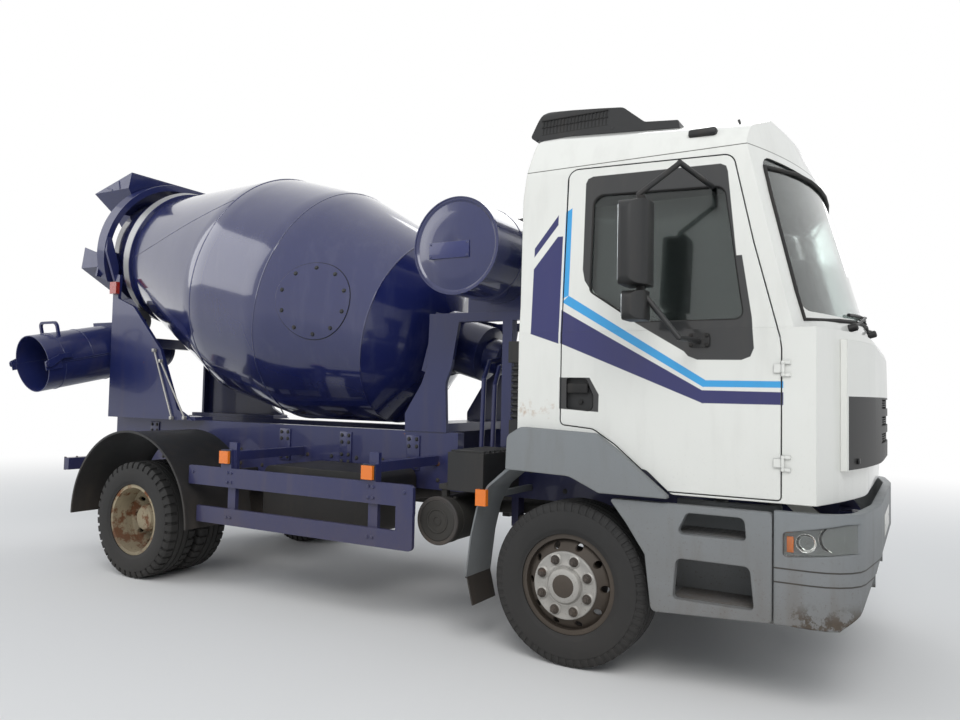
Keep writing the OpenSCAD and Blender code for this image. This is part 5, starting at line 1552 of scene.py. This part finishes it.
@dataclass
class CabTrim:
    """Wipers, the rubber round the windscreen and what stands on the roof's front."""

    paints: Paints
    lean: float = math.radians(15.6)
    curve: float = 2.760
    screen_x: float = 1.336
    screen_z: float = 1.850
    glass_in: float = 0.010
    wiper_y: tuple[Flat, ...] = ((-0.55, 0.20), (0.12, 0.86))
    pivot_rows: tuple[Flat, ...] = ((-0.03, 0.0), (-0.03, 0.02), (0.012, 0.02),
                                    (0.018, 0.012), (0.018, 0.0))
    corners: tuple[Flat, ...] = ((-1.040, 1.836), (1.040, 1.836), (0.985, 2.606),
                                 (-0.985, 2.606))

    def screen(self, y: float, z: float, out: float = 0.0) -> Point:
        """A point on the windscreen's outer face.

        Args:
            y: Its place across the truck.
            z: Its height.
            out: How far in front of the glass it is.

        Returns:
            The point.
        """
        radius = self.curve - self.glass_in + out
        lift = (z - self.screen_z) / math.cos(self.lean)
        across = math.sqrt(max(radius * radius - y * y, 0.0)) - self.curve
        return (at_axle(self.screen_x) + across * math.cos(self.lean)
                - lift * math.sin(self.lean), y,
                self.screen_z + lift * math.cos(self.lean) + across * math.sin(self.lean))

    def wipers(self) -> None:
        """Adds two parked wipers with their arms and blades."""
        solid = Solid()
        for pivot, tip in self.wiper_y:
            base, middle = self.screen(pivot, 1.800, 0.034), (pivot + tip) / 2
            solid.lathe(self.pivot_rows, Vector(base), Vector((1, 0, 0.28)), 20)
            solid.tube([base, self.screen(pivot + 0.10, 1.822, 0.040),
                        self.screen(middle, 1.868, 0.034),
                        self.screen(middle + 0.08, 1.880, 0.022)], 0.007, 8)
            solid.tube([self.screen(pivot + 0.06 + (tip - pivot) * k / 8,
                                    1.872 + 0.016 * k / 8, 0.012) for k in range(9)], 0.009, 8)
        solid.piece("wipers", self.paints.black, "cab")

    def surround(self) -> None:
        """Adds the rubber strip round the windscreen."""
        ring: list[Flat] = []
        for (y0, z0), (y1, z1) in zip(self.corners, self.corners[1:] + self.corners[:1]):
            for share in (0.08 + 0.84 * k / 8.0 for k in range(1, 8)):
                ring.append((y0 + (y1 - y0) * share, z0 + (z1 - z0) * share))
            ring.append((y1 * 0.992, z1 + (0.010 if z1 < 2.0 else -0.010)))
        path = [self.screen(y, z, 0.011) for y, z in ring]
        solid = Solid().tube(path + path[:2], 0.011, 8)
        solid.piece("windscreen_rubber", self.paints.rubber, "cab")

    def roof(self) -> None:
        """Adds the two black marker lamps and the aerial at the roof's front."""
        solid = Solid()
        for side in Side:
            solid.slab(side, (0.60, 0.74), (0.985, 1.040), (2.725, 2.765), 0.014, 3)
        solid.tube([(at_axle(0.82), -0.80, 2.79), (at_axle(0.80), -0.80, 2.86)], 0.006, 8)
        solid.piece("roof_markers", self.paints.black, "cab")

    def build(self) -> None:
        """Adds all the trim of the cab."""
        self.wipers()
        self.surround()
        self.roof()


@dataclass
class Doors:
    """Handles, window rubbers and mirror glasses, which swing with the doors."""

    paints: Paints
    recess: float = 0.022
    tumblehome: float = 0.0715
    bend_z: float = 1.735
    dish: tuple[Point, ...] = ((0.002, 1.352, 0.010), (0.148, 1.337, 0.030),
                               (0.148, 1.419, 0.030), (0.109, 1.508, 0.030),
                               (0.002, 1.508, 0.010))
    lock_rows: tuple[Flat, ...] = ((-0.010, 0.0), (-0.010, 0.012), (-0.002, 0.012),
                                   (0.0, 0.010), (0.0, 0.0))
    window: tuple[Point, ...] = ((0.112, 1.960, 0.040), (0.370, 1.790, 0.060),
                                 (0.900, 1.790, 0.040), (0.880, 1.900, 0.020),
                                 (0.795, 2.452, 0.060), (0.112, 2.480, 0.060))
    glasses: tuple[tuple[float, Flat, Flat], ...] = (
        (0.4147, (1.330, 1.520), (1.950, 2.300)), (0.4247, (1.348, 1.492), (1.786, 1.889)))
    clamp_rows: tuple[Flat, ...] = ((-0.014, 0.0), (-0.014, 0.019), (0.014, 0.019),
                                    (0.014, 0.0))

    def handle(self, side: Side) -> None:
        """Adds the black dish of the handle and the flap that is pulled.

        Args:
            side: The truck's side.
        """
        sign, body = side.value, f"door_{side.word}"
        floor, lip = sign * (SIDE_Y - self.recess + 0.0004), sign * (SIDE_Y + 0.0012)
        dish = Solid().prism(fillet(self.dish), floor, lip)
        cap = [f for f in dish.bm.faces if all(abs(v.co.y - lip) < 1e-6 for v in f.verts)]
        bmesh.ops.delete(dish.bm, geom=cap, context="FACES")
        bmesh.ops.reverse_faces(dish.bm, faces=dish.bm.faces[:])
        dish.piece(f"handle_dish_{side.word}", self.paints.black, body)
        flap = Solid().slab(side, (0.004, 0.118), (SIDE_Y - 0.013, SIDE_Y + 0.002),
                            (1.430, 1.482), 0.006, 3)
        flap.lathe(self.lock_rows, Vector((at_axle(0.075), sign * (SIDE_Y - 0.010), 1.385)),
                   side.out, 24)
        flap.piece(f"handle_flap_{side.word}", self.paints.rubber, body)

    def rubber(self, side: Side) -> None:
        """Adds the rubber round the door's window.

        Args:
            side: The truck's side.
        """
        ring = fillet(self.window, 4)
        path: list[Point] = []
        for (x0, z0), (x1, z1) in zip(ring, ring[1:] + ring[:1]):
            count = max(1, round(math.hypot(x1 - x0, z1 - z0) / 0.06))
            for k in range(count):
                x, z = x0 + (x1 - x0) * k / count, z0 + (z1 - z0) * k / count
                wall = SIDE_Y - max(0.0, z - self.bend_z) * self.tumblehome
                path.append((at_axle(x), side.value * (wall - 0.009), z))
        solid = Solid().tube(path + path[:2], 0.008, 8)
        solid.piece(f"window_rubber_{side.word}", self.paints.rubber, f"door_{side.word}")

    def mirrors(self, side: Side) -> None:
        """Adds the mirror glasses and the clamps on the mirror's tube.

        Args:
            side: The truck's side.
        """
        sign, body = side.value, f"door_{side.word}"
        glass, clamps = Solid(), Solid()
        for x, ys, zs in self.glasses:
            glass.slab(side, (x - 0.0035, x), ys, zs, 0.0015)
        glass.piece(f"mirror_glass_{side.word}", self.paints.mirror, body)
        for z in (1.915, 2.338):
            clamps.lathe(self.clamp_rows, Vector((at_axle(0.489), sign * 1.420, z)),
                         Vector((0.03, 0, 1)), 20)
        for z in (1.672, 1.718):
            for x in (0.652, 0.728):
                clamps.nut(Vector((at_axle(x), sign * (SIDE_Y + 0.012), z)), side.out, 0.008,
                           0.006)
        clamps.piece(f"mirror_clamps_{side.word}", self.paints.rubber, body)

    def build(self) -> None:
        """Dresses both doors."""
        for side in Side:
            self.handle(side)
            self.rubber(side)
            self.mirrors(side)


@dataclass
class Front:
    """The lid's grille bars and catches, the bumper's blank plate and its mesh."""

    paints: Paints
    face: float = 1.414
    curve: float = 3.200
    slots: tuple[float, ...] = (1.200, 1.290, 1.380)
    bumper_x: float = 1.412
    plate_x: Flat = (1.4415, 1.4435)
    screw_rows: tuple[Flat, ...] = ((0.0, 0.0), (0.0, 0.007), (0.0006, 0.007), (0.0008, 0.0))

    def lid_x(self, y: float, out: float) -> float:
        """How far forward the lid's curved face is.

        Args:
            y: The place across the truck.
            out: The distance in front of the cab's own face.

        Returns:
            The place along X.
        """
        radius = self.curve + out
        return at_axle(self.face - self.curve + math.sqrt(radius * radius - y * y))

    def grille(self) -> None:
        """Adds thin bars and uprights in the lid's slots, and the lid's catches."""
        bars = Solid()
        for low in self.slots:
            for z in (low + 0.013, low + 0.025, low + 0.037):
                bars.tube([(self.lid_x(y / 100.0, 0.0205), y / 100.0, z)
                           for y in range(-62, 63, 4)], 0.0032, 6)
            for y in (v / 100.0 for v in range(-60, 61, 6)):
                x = self.lid_x(y, 0.018)
                bars.tube([(x, y, low + 0.001), (x, y, low + 0.049)], 0.003, 6)
        bars.piece("grille_bars", self.paints.black, "front_lid")
        catch = Solid()
        for side in Side:
            y = side.span(0.700, 0.790)
            x = self.lid_x(side.value * 0.745, 0.0295)
            catch.box((x - 0.006, y[0], 1.120), (x + 0.0035, y[1], 1.146), 0.003)
        catch.piece("lid_catches", self.paints.black, "front_lid")

    def plate(self) -> None:
        """Adds the blank plate, its screws and the lower air slot's mesh."""
        plate, screws, mesh = Solid(), Solid(), Solid()
        plate.box((at_axle(self.plate_x[0]), -0.262, 0.712),
                  (at_axle(self.plate_x[1]), 0.262, 0.824), 0.0008)
        for y in (-0.235, 0.235):
            screws.lathe(self.screw_rows, Vector((at_axle(1.4432), y, 0.768)),
                         Vector((1, 0, 0)), 16)
        for z in (0.576, 0.592, 0.608, 0.624):
            mesh.tube([(at_axle(self.bumper_x - max(0.0, abs(y) - 50) * 0.0005), y / 100.0, z)
                       for y in range(-52, 53, 8)], 0.003, 6)
        for y in (v / 100.0 for v in range(-50, 51, 4)):
            mesh.tube([(at_axle(self.bumper_x), y, 0.561), (at_axle(self.bumper_x), y, 0.639)],
                      0.003, 6)
        plate.piece("blank_front_plate", self.paints.blank, "chassis")
        screws.piece("plate_screws", self.paints.steel, "chassis")
        mesh.piece("bumper_mesh", self.paints.black, "chassis")

    def build(self) -> None:
        """Adds the details of the front."""
        self.grille()
        self.plate()


@dataclass
class RoofUnit:
    """The cooling unit's side meshes and screws."""

    paints: Paints
    bar_y: Flat = (0.7375, 0.7425)
    bar_x: float = -0.345
    bar_pitch: float = 0.022
    bar_count: int = 19
    rail_z: tuple[float, ...] = (2.966, 3.012, 3.054)
    screw_x: tuple[float, ...] = (-0.385, -0.150, 0.090)

    def build(self) -> None:
        """Adds the unit's details."""
        bars, screws = Solid(), Solid()
        for side in Side:
            for x in (self.bar_x + self.bar_pitch * k for k in range(self.bar_count)):
                bars.slab(side, (x - 0.004, x + 0.004), self.bar_y, (2.972, 3.052), 0.0015)
            for z in self.rail_z:
                bars.slab(side, (-0.355, 0.062), self.bar_y, (z, z + 0.008), 0.0015)
            for x in self.screw_x:
                screws.nut(Vector((at_axle(x), side.value * 0.742, 2.945)), side.out, 0.007,
                           0.005)
        bars.piece("roof_unit_mesh", self.paints.rubber, "cab")
        screws.piece("roof_unit_screws", self.paints.steel, "cab")


@dataclass
class Steps:
    """Treads with raised studs on the steps."""

    paints: Paints
    treads: tuple[Point, ...] = ((0.4552, 0.560, 0.960), (0.7652, 0.575, 0.930))
    inner: float = 0.890
    outer: float = 1.104
    pitch: float = 0.030
    rows: int = 7

    def build(self) -> None:
        """Adds the treads on both sides."""
        tread = Solid()
        for side in Side:
            for top, x0, x1 in self.treads:
                tread.slab(side, (x0, x1), (self.inner, self.outer), (top - 0.0002, top + 0.004),
                           0.0015)
                for i in range(int((x1 - x0 - 0.02) / self.pitch)):
                    for j in range(self.rows):
                        spot = Vector((at_axle(x0 + 0.024 + self.pitch * i), side.value * (
                            self.inner + 0.018 + self.pitch * j), top + 0.0045))
                        turn = math.radians(45.0 if (i + j) % 2 else -45.0)
                        place = (Matrix.Translation(spot) @ Matrix.Rotation(turn, 4, "Z")
                                 @ Matrix.Diagonal((1.0, 0.34, 0.2, 1.0)))
                        bmesh.ops.create_cone(tread.bm, cap_ends=True, segments=8,
                                              radius1=0.013, radius2=0.006, depth=0.012,
                                              matrix=place)
        tread.piece("step_treads", self.paints.tread, "chassis")


@dataclass
class Chassis:
    """Bolts on rails and guards, the subframe's ties, the silencer's trim, control rods."""

    paints: Paints
    rail_y: float = 0.430
    guard_y: float = 1.130
    rail_rows: Flat = (0.825, 0.935)
    rail_start: float = -4.30
    rail_pitch: float = 0.235
    rail_count: int = 18
    ties_x: tuple[float, ...] = (-1.45, -2.05, -2.65, -4.18)
    tie_rows: tuple[float, ...] = (0.905, 0.955, 1.045, 1.095)
    posts_x: Flat = (-2.480, -1.270)
    post_rows: tuple[float, ...] = (0.545, 0.780, 0.845)
    ends_x: Flat = (-2.840, -1.020)
    silencer_x: float = -0.840
    silencer_z: float = 0.672
    rods: tuple[tuple[Flat, Flat], ...] = (((-3.800, 1.165), (-4.052, 1.731)),
                                           ((-3.640, 1.171), (-3.965, 1.640)))

    def rail_bolts(self) -> None:
        """Adds rows of bolts along both rails and plates that tie the subframe down."""
        bolts, ties = Solid(), Solid()
        top = self.rail_y + 0.010
        for side in Side:
            for k in range(self.rail_count):
                x = at_axle(self.rail_start + self.rail_pitch * k)
                for z in self.rail_rows:
                    bolts.nut(Vector((x, side.value * self.rail_y, z)), side.out, 0.012, 0.009)
            for x in self.ties_x:
                ties.slab(side, (x - 0.055, x + 0.055), (self.rail_y - 0.0005, top),
                          (0.880, 1.120), 0.003)
                for dx in (-0.032, 0.032):
                    for z in self.tie_rows:
                        bolts.nut(Vector((at_axle(x + dx), side.value * top, z)), side.out,
                                  0.011, 0.009)
        ties.piece("subframe_ties", self.paints.navy, "chassis")
        bolts.piece("rail_bolts", self.paints.steel, "chassis")

    def guard_bolts(self) -> None:
        """Adds the bolts of the side guards."""
        bolts = Solid()
        spots = [(x + dx, z) for x in self.posts_x for z in self.post_rows
                 for dx in (-0.018, 0.018)] + [(x, 0.830) for x in self.ends_x]
        for side in Side:
            for x, z in spots:
                bolts.nut(Vector((at_axle(x), side.value * self.guard_y, z)), side.out, 0.010,
                          0.008)
        bolts.piece("guard_bolts", self.paints.navy, "chassis")

    def silencer(self) -> None:
        """Adds the silencer's rim, its clamps and the dished rings of its end."""
        centre = Vector((at_axle(self.silencer_x), 0.0, self.silencer_z))
        across = Vector((0.0, 1.0, 0.0))
        rim, band = Solid(), Solid()
        rim.lathe([(-1.0500, 0.118), (-1.0515, 0.137), (-1.0460, 0.1415), (-1.0380, 0.1415),
                   (-1.0340, 0.136), (-1.0380, 0.120)], centre, across, 72)
        for y in (-0.960, -0.640):
            band.lathe([(y - 0.014, 0.1352), (y - 0.014, 0.1385), (y + 0.014, 0.1385),
                        (y + 0.014, 0.1352)], centre, across, 72)
            band.nut(Vector((centre.x + 0.060, y, self.silencer_z + 0.128)),
                     Vector((1, 0, 0.4)), 0.010, 0.014)
        for radii, steps in (((0.060, 0.064, 0.070, 0.074), 56),
                             ((0.020, 0.023, 0.027, 0.030), 40)):
            band.lathe(list(zip((-1.0530, -1.0560, -1.0560, -1.0530), radii)), centre, across,
                       steps)
        rim.piece("silencer_clamp", self.paints.steel, "chassis")
        band.piece("silencer_bands", self.paints.silencer, "chassis")

    def control_rods(self) -> None:
        """Adds the chute's control rods beside the rear pedestal, with their forks."""
        solid, half = Solid(), 0.014
        for side in Side:
            y = side.value * 0.572
            for rod in self.rods:
                solid.tube([(at_axle(x), y, z) for x, z in rod], 0.007, 10)
                for x, z in rod:
                    solid.slab(side, (x - half, x + half), (0.5575, 0.588),
                               (z - half, z + half), 0.003)
        solid.piece("control_rods", self.paints.silver, "chassis")

    def build(self) -> None:
        """Adds all the small parts of the chassis."""
        self.rail_bolts()
        self.guard_bolts()
        self.silencer()
        self.control_rods()


@dataclass
class Hopper:
    """The hopper's rolled rim and the ribs on its sides."""

    paints: Paints
    mouth_x: float = -4.795616
    mouth_z: float = 2.726955
    rim: tuple[Point, ...] = ((0.126, -0.411, 0.641), (0.126, 0.411, 0.641),
                              (-0.392, 0.411, 0.508), (-0.392, -0.411, 0.508))
    rib_y: float = 0.4208

    def build(self) -> None:
        """Adds the hopper's details."""
        x, z = at_axle(self.mouth_x), self.mouth_z
        corners = [(x + a, b, z + c) for a, b, c in self.rim]
        rim = Solid().tube(corners + corners[:2], 0.0085, 8)
        for y in (side.value * self.rib_y for side in Side):
            for t in (0.33, 0.66):
                rim.tube([(x + 0.126 - 0.518 * t, y, z + 0.636 - 0.133 * t),
                          (x + 0.080 - 0.330 * t, y, z + 0.520)], 0.006, 8)
        rim.piece("hopper_rim", self.paints.navy, "chassis")


@dataclass
class Chute:
    """Rolled edges and stiffening hoops of the troughs.

    A trough's row is the piece's name, its body, where it starts and ends from the tilting
    pin, its rims' height over the axis, and the way its bottom faces.
    """

    paints: Paints
    start_x: float = -4.929616
    tilt_z: float = 1.520
    arm: float = 0.300
    slope: float = math.radians(12.0)
    radius: float = 0.242
    troughs: tuple[tuple[str, str, float, float, float, float], ...] = (
        ("chute_rims", "chute_main", -0.190, 1.050, -0.006, -1.0),
        ("extension_rims", "chute_extension", 0.260, 1.044, 0.0075, 1.0))

    def spot(self, along: float, across: float, up: float) -> Point:
        """A point given in the stowed chute's own directions.

        Args:
            along: Metres from the tilting pin towards the outer end.
            across: Metres from the trough's middle.
            up: Metres above the trough's axis.

        Returns:
            The point in the shared frame.
        """
        sine, cosine, high = math.sin(self.slope), math.cos(self.slope), self.arm + up
        return (at_axle(self.start_x) + across, -(along * cosine + high * sine),
                self.tilt_z - along * sine + high * cosine)

    def build(self) -> None:
        """Adds the rolled rims and the stiffening hoops."""
        hoop_r = self.radius * 1.004
        for name, body, x0, x1, up, sign in self.troughs:
            solid = Solid()
            for edge in (-1.0, 1.0):
                solid.tube([self.spot(x0 + (x1 - x0) * k / 8, edge * (self.radius + 0.001), up)
                            for k in range(9)], 0.0045, 8)
            for along in (x0 + 0.02, (x0 + x1) / 2.0, x1 - 0.14):
                turns = [math.radians(6.0 + 7.0 * k) for k in range(25)]
                solid.tube([self.spot(along, hoop_r * math.cos(t), sign * hoop_r * math.sin(t))
                            for t in turns], 0.0035, 6)
            solid.piece(name, self.paints.navy, body)


@dataclass
class Seats:
    """Two cloth seats on their bases, with sewn channels and head rests.

    A cushion's row is its name, its side view, half its width and how tight it is filled.
    """

    paints: Paints
    middle: float = 0.560
    voxel: float = 0.008
    frames: int = 20
    swell: float = 0.016
    pressure: float = 4.0
    edge: float = 0.022
    seam_half: float = 0.005
    seams_y: Flat = (-0.125, 0.145)
    seams_z: tuple[float, ...] = (1.60, 1.72, 1.84)
    base_y: Flat = (-0.130, 0.190)
    bolts_x: tuple[float, ...] = (0.10, 0.26, 0.42)
    bolt_rows: tuple[Flat, ...] = ((-0.001, 0.0), (-0.001, 0.014), (0.006, 0.012), (0.007, 0.0))
    cushions: tuple[tuple[str, tuple[Flat, ...], float, float], ...] = (
        ("cushion", ((0.040, 1.364), (0.560, 1.364), (0.572, 1.462), (0.480, 1.470),
                     (0.080, 1.455)), 0.222, 0.7),
        ("backrest", ((0.076, 1.462), (0.090, 1.500), (0.032, 1.868), (-0.070, 1.862),
                      (-0.050, 1.462)), 0.212, 0.6),
        ("head_rest", ((0.018, 1.892), (0.008, 2.050), (-0.082, 2.044), (-0.070, 1.888)),
         0.130, 0.8))

    def form(self, outline: Sequence[Flat], half: float, name: str) -> bpy.types.Object:
        """A closed cushion form before it swells.

        Args:
            outline: Its side view, counted from the front axle.
            half: Half its width.
            name: The object's name.

        Returns:
            The object, in the scene.
        """
        solid = Solid().prism(outline, self.middle + 0.01 - half, self.middle + 0.01 + half,
                              self.edge)
        mesh = bpy.data.meshes.new(name)
        solid.bm.to_mesh(mesh)
        solid.bm.free()
        made = bpy.data.objects.new(name, mesh)
        bpy.context.scene.collection.objects.link(made)
        even = made.modifiers.new("Even mesh", "REMESH")
        even.mode, even.voxel_size = "VOXEL", self.voxel
        self.applied(made)
        return made

    @staticmethod
    def applied(made: bpy.types.Object) -> None:
        """Turns an object's modifiers into its mesh.

        Args:
            made: The object.
        """
        depsgraph = bpy.context.evaluated_depsgraph_get()
        depsgraph.update()
        mesh = bpy.data.meshes.new_from_object(made.evaluated_get(depsgraph))
        made.modifiers.clear()
        made.data = mesh

    def hold(self, name: str, co: Vector) -> float:
        """How firmly a cushion's cloth is held at a point: along its seams and where it rests.

        Args:
            name: The cushion.
            co: The point.

        Returns:
            0 where the cloth is free and 1 where it is held.
        """
        lines = [self.middle + y for y in self.seams_y]
        if name == "head_rest":
            return 1.0 if co.z < 1.905 else 0.0
        if name == "cushion":
            near = min(abs(co.y - y) for y in lines + [self.middle + 0.01])
            return 1.0 if co.z < 1.375 or (near < self.seam_half and co.z > 1.44) else 0.0
        lean = co.x - at_axle(0.090) + (co.z - 1.480) * 0.150
        near = min([abs(co.y - y) for y in lines] + [abs(co.z - z) for z in self.seams_z])
        return 1.0 if lean < -0.085 or (near < self.seam_half and lean > -0.03) else 0.0

    def swollen(self, made: bpy.types.Object) -> None:
        """Blows a form up like stuffed cloth, held where it is sewn down.

        Args:
            made: The form.
        """
        before = [v.co.copy() for v in made.data.vertices]
        group = made.vertex_groups.new(name="sewn")
        for vert in made.data.vertices:
            if self.hold(made.name, vert.co):
                group.add([vert.index], 1.0, "REPLACE")
        cloth = made.modifiers.new("Stuffing", "CLOTH")
        cloth.settings.use_pressure = True
        cloth.settings.uniform_pressure_force = self.pressure
        cloth.settings.effector_weights.gravity = 0.0
        cloth.settings.vertex_group_mass = "sewn"
        cloth.settings.quality = 5
        cloth.point_cache.frame_start, cloth.point_cache.frame_end = 1, self.frames
        scene = bpy.context.scene
        for number in range(1, self.frames + 1):
            scene.frame_set(number)
        self.applied(made)
        scene.frame_set(1)
        for vert, start in zip(made.data.vertices, before):
            step = vert.co - start
            if step.length > self.swell:
                vert.co = start + step.normalized() * self.swell

    def finish(self, made: bpy.types.Object) -> None:
        """Makes a swollen form a piece, and its mirror image the other side's.

        Args:
            made: The form.
        """
        name = made.name
        made.data.shade_smooth()
        other = made.copy()
        other.data = made.data.copy()
        other.data.transform(Matrix.Diagonal((1.0, -1.0, 1.0, 1.0)))
        other.data.flip_normals()
        bpy.context.scene.collection.objects.link(other)
        for piece, word in ((made, "left"), (other, "right")):
            piece.name = f"{name}_{word}"
            piece.data.materials.clear()
            piece.data.materials.append(self.paints.fabric)
            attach(piece, "cab")
            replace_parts(piece, "seats")

    def build(self) -> None:
        """Builds the bases, the cushions, the backs and the head rests."""
        base = Solid()
        inner, outer = (self.middle + y for y in self.base_y)
        for side in Side:
            base.slab(side, (0.040, 0.520), (inner, outer), (1.1103, 1.3607), 0.012)
            for x in self.bolts_x:
                base.lathe(self.bolt_rows, Vector((at_axle(x), side.value * inner, 1.235)),
                           -side.out, 18)
        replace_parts(base.piece("cushion_bases", self.paints.trim, "cab"), "seats")
        for name, outline, half, fill in self.cushions:
            made = self.form(outline, half, name)
            self.swollen(made)
            self.finish(made)


def main() -> None:
    """Builds the studio and the truck's looks in order."""
    logging.basicConfig(level=logging.INFO, format="%(name)s %(message)s")
    Studio().build()
    paints = Paints(Effects())
    Dressing(paints).build()
    for part in (Wheels(paints), Drum(paints), WaterTank(paints), Lamps(paints),
                 CabTrim(paints), Doors(paints), Front(paints), RoofUnit(paints),
                 Steps(paints), Chassis(paints), Hopper(paints), Chute(paints),
                 Seats(paints)):
        LOG.info("building %s", type(part).__name__)
        part.build()


if __name__ == "__main__":
    main()
